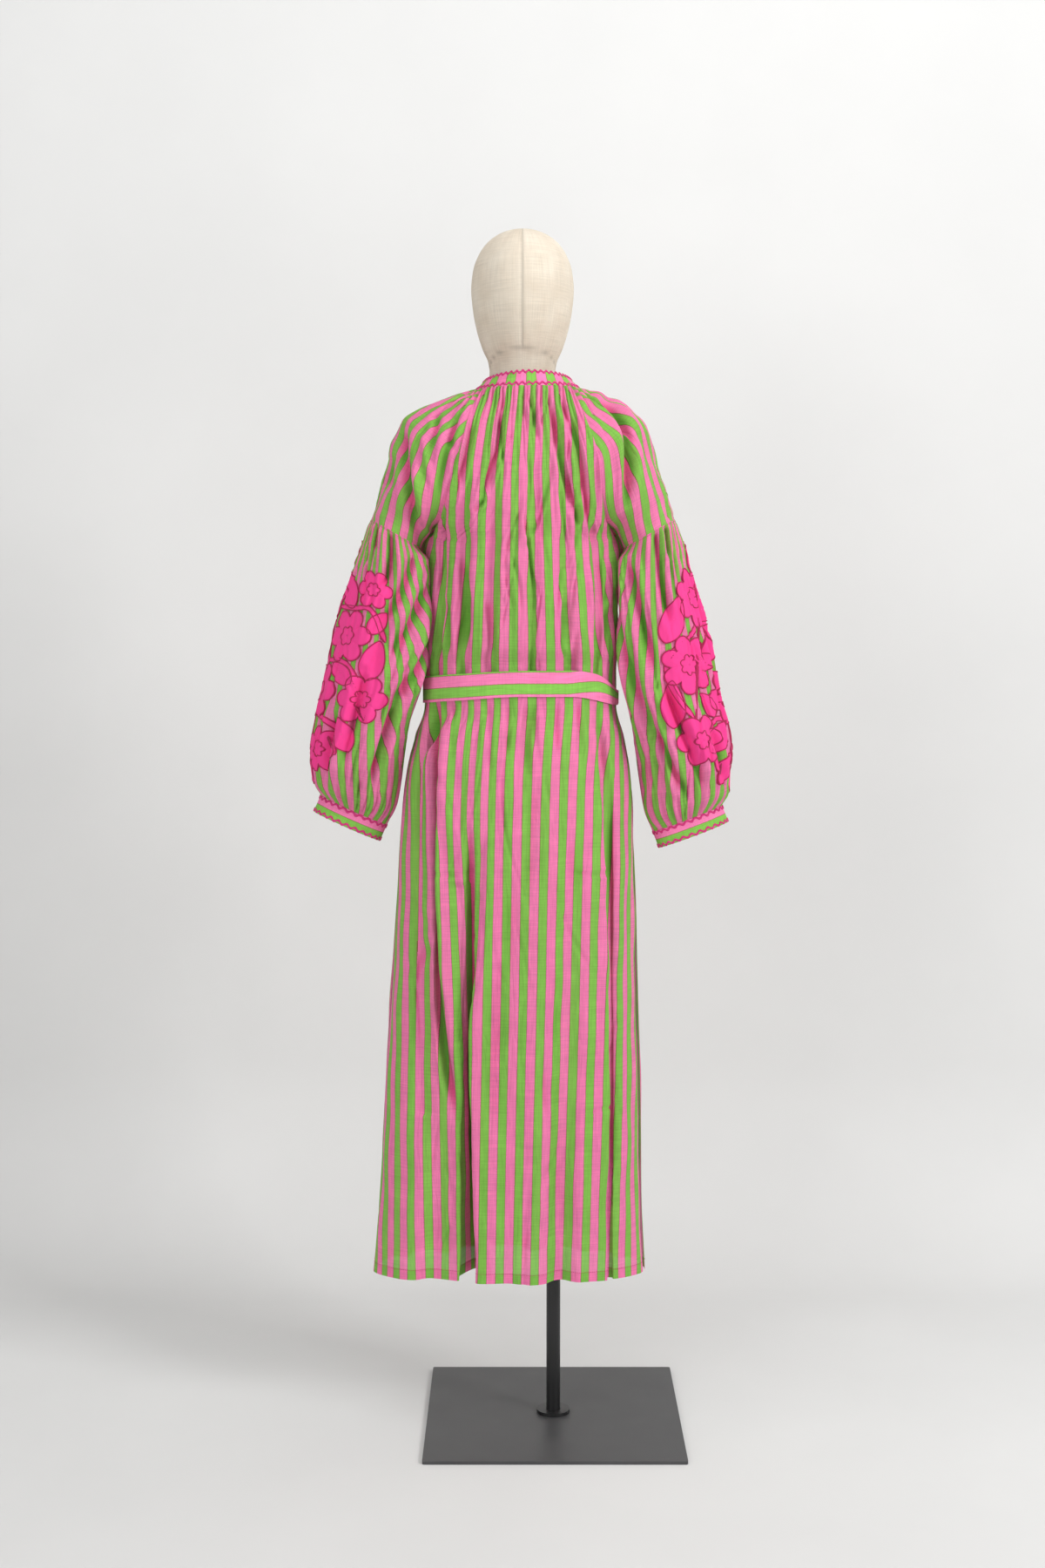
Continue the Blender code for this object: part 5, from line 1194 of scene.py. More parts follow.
def form_linen(name):
    """Unbleached linen stretched on the form: slubby threads 1 mm apart, matt, with darker sewn seams."""
    made, tree = new_material(name)
    place = add(tree, "UVMap", {"uv_map": "cloth"})
    colour, _ = mottled(tree, place, 22.0, 4.0, ("#d2c5b3", "#dcd2c2"))
    seam = add(tree, "Attribute", {"attribute_name": "seam"}, "Fac")
    dark = add(tree, "MapRange", Value=seam, From_Min=0.0, From_Max=1.0, To_Min=1.0, To_Max=0.72)
    colour = add(tree, "VectorMath", "SCALE", i0=colour, Scale=dark)
    colour, normal = plain_weave(tree, place, 0.0010, colour, 0.45, 0.35)
    finish = {"Roughness": 0.88, "Specular_IOR_Level": 0.25}
    cloth = add(tree, "BsdfPrincipled", Base_Color=colour, Normal=normal, **finish)
    add(tree, "OutputMaterial", Surface=cloth)
    return made


def coated_steel(name, codes, rough):
    """Powder-coated steel: near-black, with the orange peel, about 1 mm wide, that baked powder leaves."""
    made, tree = new_material(name)
    place = add(tree, "TexCoord", out="Object")
    colour, patch = mottled(tree, place, 14.0, 4.0, codes)
    least, most = rough - 0.05, rough + 0.06
    worn = add(tree, "MapRange", Value=patch, From_Min=0.3, From_Max=0.7, To_Min=least, To_Max=most)
    peel = add(tree, "TexNoise", Vector=place, Scale=900.0, Detail=2.0)
    bump = add(tree, "Bump", Strength=0.25, Distance=0.0002, Height=peel)
    coat = add(tree, "BsdfPrincipled", Base_Color=colour, Roughness=worn, Normal=bump)
    add(tree, "OutputMaterial", Surface=coat)
    return made


def studio_paper(name, codes):
    """Pale matt studio paper, with the faint mottle that it shows under soft light."""
    made, tree = new_material(name)
    place = add(tree, "TexCoord", out="Object")
    colour, _ = mottled(tree, place, 2.0, 5.0, codes)
    grain = add(tree, "TexNoise", Vector=place, Scale=400.0, Detail=2.0)
    bump = add(tree, "Bump", Strength=0.05, Distance=0.0003, Height=grain)
    paper = add(tree, "BsdfPrincipled", Base_Color=colour, Roughness=0.9, Normal=bump, Specular_IOR_Level=0.2)
    # only the side towards the garment is paper, so that the sweep never hides it from someone behind it
    back, clear = add(tree, "NewGeometry", out="Backfacing"), add(tree, "BsdfTransparent")
    add(tree, "OutputMaterial", Surface=add(tree, "MixShader", Fac=back, i1=paper, i2=clear))
    return made


FINISHES = {  # the finish's name, how it is made, and its own settings
    "voile": ("slub_cotton_voile", striped_voile, 0.20, 0.93),
    "voile_doubled": ("doubled_cotton_voile", striped_voile, 0.08, 1.0),
    "ricrac": ("plaited_cotton_ricrac", pink_cotton, ("#c2296c", "#d83f85"), 0.0012, 0.6),
    "applique": ("hot_pink_cotton", pink_cotton, ("#bb2658", "#d23875"), 0.0009, 0.35),
    "thread": ("satin_stitched_cotton", pink_cotton, ("#9c1c46", "#b82a5c"), 0.0011, 0.8),
    "linen": ("unbleached_linen", form_linen),
    "steel": ("powder_coated_steel", coated_steel, ("#3a3a3b", "#454546"), 0.42),
    "pole": ("powder_coated_pole", coated_steel, ("#111112", "#181819"), 0.38),
    "floor": ("studio_paper", studio_paper, ("#d6d6d5", "#dbdbda")),
}


def material(key):
    """Each finish, made once."""
    name, make, *settings = FINISHES[key]
    return bpy.data.materials.get(name) or make(name, *settings)


# --- pieces ---------------------------------------------------------------------------------

NAMES = {-1: "left", 1: "right"}
THREAD, THREAD_LIFT = 0.0004, 0.0002  # thickness of a stitch, and how far its middle stands off the cloth
EDGE_HALF_WIDTH = 0.0011  # of the satin stitching round the flowers
BRAID_HALF_WIDTH, BRAID_SWING = 0.0019, 0.0017
NECK_WAVE, CUFF_WAVE = 0.0100, 0.0098  # length of one wave of the ric-rac
SEAM_HALF_WIDTH = 0.0016  # of the form's sewn seams
QUARTER_PAIR = (PINK_WIDTH + GREEN_WIDTH) / 4


def body_panel(face):
    """The gathered back or front, with its hem turned up and stitched."""
    name, columns = ("back_panel", 270) if face < 0 else ("front_panel", 200)
    grid, normals, flat, painted_crease_shade = panel_cloth(face, columns)
    cut = None
    if face > 0:  # the front slit, opened to a narrow V
        middle, rows = columns // 2, int((panel_levels(face) < SLIT_STATION).sum())
        width = SLIT_HALF_GAP * np.clip(1 - np.arange(len(grid)) / rows, 0, 1)[:, None]
        aside = grid[..., 0] - grid[:, middle : middle + 1, 0]
        grid[..., 0] += np.sign(np.arange(columns + 1) - middle) * width * np.exp(-np.abs(aside) / 0.02)
        cut = lambda r, c: r < rows - 1 and c in (middle - 1, middle)
    # painted shade: the crease mark goes on the sheet, and the voile darkens its colour by it
    cloth = grid_sheet(f"{name}_cloth", grid, flat, "voile", {"painted_crease_shade": painted_crease_shade}, cut=cut)
    stands_for(cloth, name, np.array([0.0, float(face), 0.0]))
    turned = between(grid[-4], grid[-1], np.linspace(0, 1, 4)[:, None, None]) - normals[-1] * 0.0009
    turned[-1] = grid[-1] - normals[-1] * 0.0002
    lift = np.linalg.norm(grid[-4] - grid[-1], axis=1).mean()
    hem = grid_sheet(f"{name}_hem", turned, laid(flat[-1, :, 0], np.linspace(0, lift, 4)[:, None]), "voile")
    stitch = stitches(f"{name}_hem_stitches", grid[-4] + normals[-4] * 0.0002, normals[-4])


def cloth_area(flat):
    """Area of the flat cut, by the cells of its flat places."""
    a, b = flat[1:, 1:] - flat[:-1, :-1], flat[1:, :-1] - flat[:-1, 1:]
    return float(np.abs(a[..., 0] * b[..., 1] - a[..., 1] * b[..., 0]).sum() / 2)


def stitches(name, line, away, length=0.0022, gap=0.0010):
    """A row of short sewn stitches along a line of points, each a low rounded bar."""
    run = run_along(line)
    count = max(2, int(run[-1] / (length + gap)))
    starts = (np.arange(count) + 0.2) * run[-1] / count
    bm = bmesh.new()
    bmesh.ops.create_cube(bm, size=1.0)
    bmesh.ops.bevel(bm, geom=bm.edges[:], offset=0.25, segments=1, profile=0.5, affect="EDGES", material=-1)
    bm.verts.index_update()
    shape = np.array([v.co for v in bm.verts])
    faces = [[v.index for v in face.verts] for face in bm.faces]
    bm.free()
    first, last = (at_runs(line, run, starts + step) for step in (0, length))
    up = at_runs(away, run, starts)
    along, up = last - first, unit(up)
    side = unit(np.cross(along, up))
    points = ((first + last) / 2 + up * THREAD_LIFT)[:, None]
    for axis, way in enumerate((along, side * THREAD, up * THREAD)):
        points = points + shape[None, :, axis : axis + 1] * way[:, None]
    corners = [[v + i * len(shape) for v in face] for i in range(count) for face in faces]
    mesh = bpy.data.meshes.new(name)
    mesh.from_pydata((points.reshape(-1, 3) + [GARMENT_X, 0, 0]).tolist(), [], corners)
    flat = np.array([[shape[v, 0] * length, shape[v, 1] * THREAD] for face in faces for v in face] * count)
    mesh.uv_layers.new(name="cloth").data.foreach_set("uv", flat.astype(np.float32).ravel())
    bm = bmesh.new()
    bm.from_mesh(mesh)
    bmesh.ops.recalc_face_normals(bm, faces=bm.faces)
    bm.to_mesh(mesh)
    bm.free()
    return finished(name, mesh, "thread")


def raglan(side):
    """A gathered upper sleeve."""
    grid, _, flat, painted_crease_shade = raglan_cloth(side)
    name = f"raglan_sleeve_{NAMES[side]}"
    # painted shade: the crease mark goes on the sheet, and the voile darkens its colour by it
    cloth = grid_sheet(f"{name}_cloth", grid, flat, "voile", {"painted_crease_shade": painted_crease_shade}, weld=True)
    stands_for(cloth, name, np.array([float(side), 0.0, 0.5]))


def balloon(side):
    """A gathered lower sleeve with its stitched seam. Gives back its points and normals, for the flowers."""
    grid, normals, flat, painted_crease_shade = balloon_cloth(side)
    name = f"balloon_sleeve_{NAMES[side]}"
    # painted shade: the crease mark goes on the sheet, and the voile darkens its colour by it
    cloth = grid_sheet(f"{name}_cloth", grid, flat, "voile", {"painted_crease_shade": painted_crease_shade}, weld=True)
    stands_for(cloth, name)
    seam = stitches(f"{name}_seam_stitches", grid[1] + normals[1] * 0.0004, normals[1], 0.0020, 0.0012)
    return grid, normals


# The sewn-on flowers of a sleeve: generic round blooms and leaves on a stem. u is round the arm from its
# outer line, positive towards the front, v is down from the seam, both in metres; turn is in degrees.
BLOOMS = [  # u, v, radius, petals, turn
    (-0.028, 0.128, 0.049, 7, 10),
    (0.052, 0.196, 0.046, 6, 40),
    (-0.072, 0.232, 0.048, 7, 0),
    (0.004, 0.292, 0.049, 6, 25),
    (0.100, 0.296, 0.041, 6, 15),
    (-0.078, 0.352, 0.041, 6, 5),
    (0.040, 0.386, 0.038, 7, 0),
    (0.088, 0.112, 0.033, 6, 20),
]
LEAVES = [  # u, v, length, width, turn
    (-0.088, 0.156, 0.080, 0.040, 30),
    (0.030, 0.120, 0.074, 0.036, -40),
    (-0.016, 0.206, 0.074, 0.036, 25),
    (0.106, 0.230, 0.070, 0.036, 10),
    (-0.112, 0.290, 0.076, 0.036, 10),
    (-0.036, 0.352, 0.074, 0.034, 55),
    (0.056, 0.258, 0.056, 0.030, -60),
    (-0.034, 0.404, 0.060, 0.028, 40),
    (0.084, 0.356, 0.060, 0.032, -30),
    (0.000, 0.066, 0.056, 0.030, 5),
    (-0.048, 0.300, 0.046, 0.026, -30),
    (0.104, 0.166, 0.046, 0.026, 30),
    (0.008, 0.426, 0.046, 0.022, 0),
]
STEMS = [  # lines of (u, v)
    [(0.004, 0.090), (-0.010, 0.180), (0.010, 0.240), (0.000, 0.340), (0.010, 0.410)],
    [(-0.030, 0.160), (-0.060, 0.190), (-0.110, 0.210), (-0.112, 0.262), (-0.084, 0.320)],
    [(0.010, 0.240), (0.060, 0.236), (0.086, 0.260), (0.112, 0.330)],
    [(-0.004, 0.330), (-0.050, 0.320), (-0.060, 0.376), (-0.050, 0.412)],
    [(0.010, 0.150), (0.060, 0.150), (0.092, 0.140), (0.120, 0.196)],
    [(0.020, 0.330), (0.060, 0.340), (0.080, 0.390)],
]


def on_balloon(grid, normals, flat, side, lift):
    """Places flat cloth positions on a balloon, lift away from it."""
    rows, columns = grid.shape[0] - 1, grid.shape[1] - 1
    c = (flat[..., 0] * side / BALLOON_CUT["width"] + 0.5) * columns
    r = flat[..., 1] / BALLOON_CUT["length"] * rows
    c0, r0 = np.clip(c.astype(int), 0, columns - 1), np.clip(r.astype(int), 0, rows - 1)
    fc, fr = (c - c0)[..., None], (r - r0)[..., None]
    row = lambda k, r: between(k[r, c0], k[r, c0 + 1], fc)
    mix = lambda k: between(row(k, r0), row(k, r0 + 1), fr)
    return mix(grid) + unit(mix(normals)) * lift[..., None]


def cut_shape(middle, outline, height, marks):
    """Flat places and lifts of a patch that fills a star-shaped outline, in rings out to its turned edge."""
    rings = np.concatenate([np.linspace(0.02, 0.90, 12), [0.95, 0.985, 1.0]])
    flat = middle + (np.array(outline) - middle)[None] * rings[:, None, None]
    crown = np.where(rings < 0.93, 1.0, np.sqrt(np.clip(1 - ((rings - 0.93) / 0.07) ** 2, 0, 1)))
    share = np.arange(len(outline))[None, :] / len(outline)
    lift = 0.0002 + height * crown[:, None] + 0 * share - marks(rings[:, None], share)
    flat, lift = (np.concatenate([k, k[:, :1]], 1) for k in (flat, lift))
    return flat, np.maximum(lift, 0.0002)


def bloom_outline(u, v, radius, petals, turn, count=140):
    angle = np.linspace(0, 2 * math.pi, count, endpoint=False)
    lobes = np.abs(np.cos((angle * petals + math.radians(turn)) / 2)) ** 0.7
    reach = radius * (0.66 + 0.34 * lobes)
    return [(u + k * math.cos(a), v + k * math.sin(a)) for a, k in zip(angle, reach)]


def leaf_outline(u, v, length, width, turn, count=90):
    angle = np.linspace(0, 2 * math.pi, count, endpoint=False)
    along = np.cos(angle) * length / 2
    across = np.sin(angle) * np.abs(np.sin(angle)) ** 0.35 * width / 2 * (1 + 0.25 * np.cos(angle))
    c, s = math.cos(math.radians(90 + turn)), math.sin(math.radians(90 + turn))
    return [(u + a * c - b * s, v + a * s + b * c) for a, b in zip(along, across)]


def across_line(line):
    """The direction square to a flat line at each of its points."""
    along = unit(np.gradient(line, axis=0))
    return np.stack([-along[:, 1], along[:, 0]], -1)


def stem_band(line, width=0.0075):
    """Flat places of a stem, tapered at both ends, and how far each of its rows lies from its middle."""
    line = rounded_line(line, 3)
    run = run_along(line)
    line = at_runs(line, run, np.linspace(0, run[-1], max(24, int(run[-1] / 0.0025))))
    share = np.linspace(0, 1, len(line))
    taper = np.minimum(1, smoothstep(share * 8 + 0.4) * smoothstep((1 - share) * 8 + 0.3))
    steps = np.array([-1, -0.93, -0.8, -0.4, 0, 0.4, 0.8, 0.93, 1])
    half = (width / 2 * taper)[:, None]
    return line + across_line(line) * half * steps[:, None, None], steps


def joined(name, parts, node=None):
    """Several finished sheets as one object."""
    bpy.ops.object.select_all(action="DESELECT")
    for part in parts:
        part.select_set(True)
    bpy.context.view_layer.objects.active = parts[0]
    bpy.ops.object.join()
    made = bpy.context.view_layer.objects.active
    made.name = made.data.name = name
    if node:
        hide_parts(node)
    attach(made, "root")
    return made


def sleeve_flowers(side, grid, normals):
    """Generic blooms, leaves and stems of hot-pink cotton, sewn on round their turned edges."""
    patches, edging, areas = [], [], []

    def patch(flat, lift, tag):
        points = on_balloon(grid, normals, flat, side, lift)
        patches.append(grid_sheet(f"flower_{NAMES[side]}_{tag}", points, flat, "applique"))
        outward_faces(patches[-1], np.array([float(side), 0.0, 0.0]))
        areas.append(cloth_area(flat))

    def sewn_edge(outline, height, tag):
        line = np.array([*outline, outline[0]])
        steps = np.linspace(-1, 1, 7)
        flat = line[None] + across_line(line)[None] * steps[:, None, None] * EDGE_HALF_WIDTH
        lift = (height + 0.0005 + 0.0006 * np.sqrt(1 - (steps * 0.98) ** 2))[:, None] * np.ones(len(line))
        lift[[0, -1]] = height * 0.4
        points = on_balloon(grid, normals, flat, side, lift)
        uv = laid(run_along(line), steps[:, None] * 0.0014)
        edging.append(grid_sheet(f"edge_{NAMES[side]}_{tag}", points, uv, "thread"))
        outward_faces(edging[-1], np.array([float(side), 0.0, 0.0]))

    for i, line in enumerate(STEMS):
        flat, steps = stem_band(line)
        height = 0.0008 * np.sqrt(np.clip(1 - (np.abs(steps) - 0.8).clip(0) ** 2 * 25, 0, 1))
        patch(flat, 0.0002 + height[:, None] + 0 * flat[..., 0], f"stem{i}")
        for edge in (0, -1):
            sewn_edge(flat[edge], 0.0006, f"stem{i}_{edge + 1}")
    for i, (u, v, length, width, turn) in enumerate(LEAVES):
        outline = leaf_outline(u, v, length, width, turn)
        vein = lambda ring, share: 0.0004 * hill(np.sin(share * 2 * math.pi) * ring / 0.10) * (ring < 0.86)
        patch(*cut_shape((u, v), outline, 0.0012, vein), f"leaf{i}")
        sewn_edge(outline, 0.0010, f"leaf{i}")
    for i, (u, v, radius, petals, turn) in enumerate(BLOOMS):
        outline = bloom_outline(u, v, radius, petals, turn)

        def dents(ring, share):  # between the petals and round the heart
            angle = (share * 2 * math.pi * petals + math.radians(turn) + math.pi) / 2
            between_petals = hill(np.sin(angle) / 0.14) * smoothstep((ring - 0.30) * 6)
            return 0.0005 * (between_petals + hill((ring - 0.30) / 0.035))

        patch(*cut_shape((u, v), outline, 0.0016, dents), f"bloom{i}")
        sewn_edge(outline, 0.0013, f"bloom{i}")
        sewn_edge(bloom_outline(u, v, radius * 0.36, petals, turn + 30, 48), 0.0016, f"heart{i}")
    flowers = joined(f"applique_{NAMES[side]}_flowers", patches, f"applique_{NAMES[side]}")
    edges = joined(f"applique_{NAMES[side]}_stitching", edging)


def band_piece(node, outer, inner, turned, shift, weld=True):
    """A band of doubled cloth. turned is true where the stripes run along it, and shift moves them across."""
    strip = as_strip(outer, inner)
    down = [run_along(strip[:, c]) for c in range(0, strip.shape[1], max(1, strip.shape[1] // 8))]
    down = np.mean(down, 0)
    down = down - down[6]  # measured from the upper edge, positive down the outer side
    run = run_along(outer[0])
    flat = laid(down[:, None], run) if turned else laid(run, down[:, None])
    flat[..., 0] += shift
    made = grid_sheet(f"{node}_cloth", strip, flat, "voile_doubled", weld=weld)
    stands_for(made, node)


def ricrac(node, centre, up, away, waves):
    """A plaited braid that swings in waves, with a rounded section."""
    phase = np.linspace(0, 2 * math.pi * round(waves), len(centre))
    wave = np.sin(phase)
    swing = np.sign(wave) * np.abs(wave) ** 0.75 * BRAID_SWING * (1 + 0.10 * np.sin(phase / 7.3 + 1.0))
    steps = np.linspace(-1, 1, 9)
    rise = TRIM_LIFT * 0.3 + 0.0011 * np.sqrt(np.clip(1 - steps**2, 0, 1)) ** 0.8
    middle = centre + up * swing[:, None]
    grid = np.array([middle - up * (s * BRAID_HALF_WIDTH) + away * k for s, k in zip(steps, rise)])
    flat = laid(run_along(centre), steps[:, None] * BRAID_HALF_WIDTH)
    stands_for(grid_sheet(f"{node}_braid", grid, flat, "ricrac", weld=True), node)


def lofted_form(name, node, sections):
    """The form's linen skin through its level sections, with its sewn seams pulled in."""
    table = Table(FORM_COLUMNS, sections)
    heights = []
    for (low, *_), (high, *_) in zip(sections, sections[1:]):
        steps = max(2, int(math.ceil((high - low) / 0.006)))
        heights += [between(low, high, k / steps) for k in range(steps)]
    heights = np.array([*heights, sections[-1][0]])
    angle = np.linspace(0, 2 * math.pi, 145)
    grid = []
    for z in heights:
        depth = np.where(np.cos(angle) > 0, table.read("back", z), table.read("front", z))
        x = table.read("x", z) + table.read("half_width", z) * np.sin(angle)
        grid.append(np.stack([x, -depth * np.cos(angle), z + 0 * angle], -1))
    grid, z = np.array(grid), heights[:, None]
    arch = 1.5885 - 0.024 * (1 - np.cos(angle)) ** 1.1
    across = np.minimum(angle, 2 * math.pi - angle) * 0.06
    seam = hill(across / SEAM_HALF_WIDTH) * (z > arch)
    seam = np.maximum(seam, hill((z - arch) / SEAM_HALF_WIDTH) * (z > 1.53))
    seam = np.maximum(seam, hill((across - 0.06 * math.pi) / SEAM_HALF_WIDTH) * (z > arch))
    grid = grid - unit(grid - grid.mean(1, keepdims=True)) * (seam * 0.0009)[..., None]
    made = grid_sheet(name, grid, laid(angle * 0.09, z), "linen", {"seam": seam}, weld=True)
    bm = bmesh.new()
    bm.from_mesh(made.data)
    bmesh.ops.holes_fill(bm, edges=[edge for edge in bm.edges if edge.is_boundary], sides=0)
    bmesh.ops.recalc_face_normals(bm, faces=bm.faces)
    bm.to_mesh(made.data)
    bm.free()
    made.data.shade_smooth()
    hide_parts(node)


def knot_cloth():
    """A soft tied knot: a rounded pad with the wrap's folds across it."""
    turn, down = np.meshgrid(np.linspace(0, 2 * math.pi, 73), np.linspace(0, math.pi, 41))
    fold = 1 + 0.05 * np.sin(down * 5 + turn) + 0.05 * np.cos(turn * 4 + down * 2)
    squared = lambda k: np.sign(k) * np.abs(k) ** 0.8
    ring = np.sin(down) ** 0.7 * fold
    parts = (ring * squared(np.cos(turn)), ring * squared(np.sin(turn)), np.cos(down))
    grid = np.stack([half * 0.47 * part for half, part in zip(KNOT_SIZE, parts)], -1)
    grid += np.array([KNOT_X, knot_y(), KNOT_Z])
    flat = laid(down * 0.016 + turn * 0.004, turn * 0.012)
    made = grid_sheet("belt_knot_cloth", grid, flat, "voile_doubled", weld=True)
    stands_for(made, "belt_knot")


def tail_cloth(name):
    """A tail of the belt, hanging down the front with a slow twist."""
    start_x, end_x, length = TAILS[name]
    shares, steps = np.linspace(0, 1, 90), np.linspace(-1, 1, 19)
    rows = []
    for share in shares:
        x, z = between(start_x, end_x, share), KNOT_Z - KNOT_SIZE[2] / 2 - CLEAR - length * share
        y = front_reach(x, max(z, BODY_ROWS[-1]), FRONT_FOLDS, TAIL_WIDTH) + 0.004 + BAND_WALL / 2
        half = TAIL_WIDTH / 2 * (0.35 + 0.65 * min(1.0, share * 4))
        bend = 0.0016 * np.cos(steps * 4.2 + share * 5) + 0.0010 * np.sin(share * 17 + steps)
        rows.append(np.stack([x + half * steps, y + bend + 0.0020 * (1 - np.abs(steps)), z + 0 * steps], -1))
    grid = np.array(rows)
    grid[..., 1] = between(knot_y(), smooth_down(grid[..., 1]), smoothstep(shares * 12)[:, None])
    flat = laid(steps * TAIL_WIDTH / 2 + 0.0022, shares[:, None] * length)
    made = grid_sheet(f"belt_tail_{name}_cloth", grid, flat, "voile_doubled")
    stands_for(made, f"belt_tail_{name}", np.array([0.0, 1.0, 0.0]))


def studio_sweep():
    """A floor that curves up into a wall behind the form."""
    turns = np.linspace(0.1, math.pi / 2, 12)
    profile = [(-6.0, 0.0), (SWEEP_Y, 0.0)]
    profile += [(SWEEP_Y + SWEEP_BEND * math.sin(a), SWEEP_BEND - SWEEP_BEND * math.cos(a)) for a in turns]
    profile += [(SWEEP_Y + SWEEP_BEND, 5.0)]
    bm = bmesh.new()
    line = [bm.verts.new((-6.0, y, z)) for y, z in profile]
    edges = [bm.edges.new(pair) for pair in zip(line, line[1:])]
    moved = bmesh.ops.extrude_edge_only(bm, edges=edges)["geom"]
    bmesh.ops.translate(bm, verts=[v for v in moved if isinstance(v, bmesh.types.BMVert)], vec=(12.0, 0, 0))
    bmesh.ops.recalc_face_normals(bm, faces=bm.faces)
    bm.normal_update()
    if sum(face.normal.z - face.normal.y for face in bm.faces) < 0:
        bmesh.ops.reverse_faces(bm, faces=bm.faces)
    mesh = bpy.data.meshes.new("studio_sweep")
    bm.to_mesh(mesh)
    bm.free()
    mesh.shade_smooth()
    mesh.materials.append(material("floor"))
    floor = bpy.data.objects.new("studio_sweep", mesh)
    bpy.context.collection.objects.link(floor)


SWEEP_Y, SWEEP_BEND = 0.55, 0.35  # where the floor starts to curve up, and the radius of its curve
CAMERA_PLACE, CAMERA_DOWN, LENS = (GARMENT_X, -3.096, 1.2002), 4.449, 48.13  # degrees down, and millimetres
LIGHTS = [  # name, place, size, power
    ("key", (3.1, -2.3, 2.4), 1.3, 101.0),
    ("fill", (-2.4, -3.0, 1.5), 2.4, 51.0),
    ("top", (0.2, -0.9, 3.6), 2.2, 38.0),
    ("low", (0.4, -3.4, 0.5), 1.6, 8.0),
]


# --- add-on ---------------------------------------------------------------------------------


def width_setting(name, description, default):
    return bpy.props.FloatProperty(name=name, description=description, default=default, unit="LENGTH")


def colour_setting(name, description, default):
    return bpy.props.StringProperty(name=name, description=description + ", sRGB hex", default=default)


class KaftanSizes(bpy.types.PropertyGroup):
    pink_width: width_setting("Pink stripe", "Width of a pink stripe", PINK_WIDTH)
    green_width: width_setting("Green stripe", "Width of a green stripe", GREEN_WIDTH)
    line_width: width_setting("Border line", "Width of the dark line between stripes", 0.0006)
    stripe_start: bpy.props.FloatProperty(
        name="Stripe start", default=0.25,
        description="Share of a pair of stripes that the middle of the back starts at",
    )
    pink: colour_setting("Pink", "Colour of the pink stripes", "#f781b5")
    green: colour_setting("Green", "Colour of the green stripes", "#84c451")
    border: colour_setting("Border", "Colour of the line between stripes", "#8a6a48")


class KAFTAN_OT_form(bpy.types.Operator):
    """Covers the form's torso and head in linen with sewn seams"""

    bl_idname = "kaftan.form"
    bl_label = "Linen form"

    def execute(self, context):
        lofted_form("form_cloth", "form_torso", TORSO)
        lofted_form("head_cloth", "form_head", HEAD)
        return {"FINISHED"}


class KAFTAN_OT_stand(bpy.types.Operator):
    """Gives the steel plate, flange and pole their powder coat"""

    bl_idname = "kaftan.stand"
    bl_label = "Steel stand"

    def execute(self, context):
        for node, key in (("base_plate", "steel"), ("base_flange", "pole"), ("pole", "pole")):
            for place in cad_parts[node].material_slots:
                place.material = material(key)
        return {"FINISHED"}


class KAFTAN_OT_body(bpy.types.Operator):
    """Hangs the gathered, creased back and front of the body, with their hems and the slit"""

    bl_idname = "kaftan.body"
    bl_label = "Body panels"

    def execute(self, context):
        body_panel(-1)
        body_panel(1)
        return {"FINISHED"}


class KAFTAN_OT_sleeves(bpy.types.Operator):
    """Makes the raglan sleeves, their gathered balloons and the sewn-on flowers"""

    bl_idname = "kaftan.sleeves"
    bl_label = "Sleeves"

    def execute(self, context):
        for side in (-1, 1):
            raglan(side)
            sleeve_flowers(side, *balloon(side))
        return {"FINISHED"}


class KAFTAN_OT_bands(bpy.types.Operator):
    """Makes the neckband and the cuffs, with a ric-rac braid along both edges of each"""

    bl_idname = "kaftan.bands"
    bl_label = "Neckband and cuffs"

    def execute(self, context):
        top, bottom, away = neckband_edges(420)
        inner = [edge - away * BAND_WALL * 0.6 for edge in (top, bottom)]
        band_piece("neckband", (top, bottom), inner, False, 0.0025, weld=False)
        waves = run_along(bottom)[-1] / NECK_WAVE
        high, low, out = neckband_edges(1280)
        for name, share in (("top", 0.93), ("bottom", 0.16)):
            centre = neckband_edges(1280, high=share)[0]
            ricrac(f"ricrac_neck_{name}", centre, unit(high - low), out, waves)
        for side in (-1, 1):
            ring, away, _ = cuff_ring(side, 0.0, 300)
            low, _, _ = cuff_ring(side, CUFF_HEIGHT, 300)
            inner = [edge - away * BAND_WALL * 0.6 for edge in (ring, low)]
            shift = 0.0013 - QUARTER_PAIR
            band_piece(f"cuff_{NAMES[side]}", (ring, low), inner, True, shift)
            waves = run_along(ring)[-1] / CUFF_WAVE
            for name, down in (("top", 0.0026), ("bottom", CUFF_HEIGHT - 0.0030)):
                centre, out, up = cuff_ring(side, down, 680)
                ricrac(f"ricrac_cuff_{NAMES[side]}_{name}", centre, up[None], out, waves)
        return {"FINISHED"}


class KAFTAN_OT_belt(bpy.types.Operator):
    """Ties the belt round the waist, with its knot and two tails in front"""

    bl_idname = "kaftan.belt"
    bl_label = "Tie belt"

    def execute(self, context):
        angle = np.linspace(-math.pi, math.pi, 401)
        points, away = waist_outline(angle, WAIST_Z, BELT_PLAY + 0.0016)
        points[-1], away[-1] = points[0], away[0]
        edges = []
        for name in ("top_z", "bottom_z"):
            edge = points.copy()
            edge[:, 2] = [BELT.read(name, math.degrees(a)) for a in angle]
            edge[:, 2] -= 0.005 * smoothstep((edge[:, 0] - 0.075) / 0.055) * smoothstep(-edge[:, 1] / 0.03)
            edges.append(edge)
        outer = [edge + away * 0.0012 for edge in edges]
        # the join near the right end is folded over on a slant, which narrows the upper stripe
        strip = as_strip(outer, edges)
        slant = smoothstep((strip[..., 0] - 0.062) / 0.070) * (strip[..., 1] < 0)
        band_piece("belt", outer, edges, True, 0.010 * slant - 0.002 - QUARTER_PAIR)
        knot_cloth()
        for name in TAILS:
            tail_cloth(name)
        return {"FINISHED"}


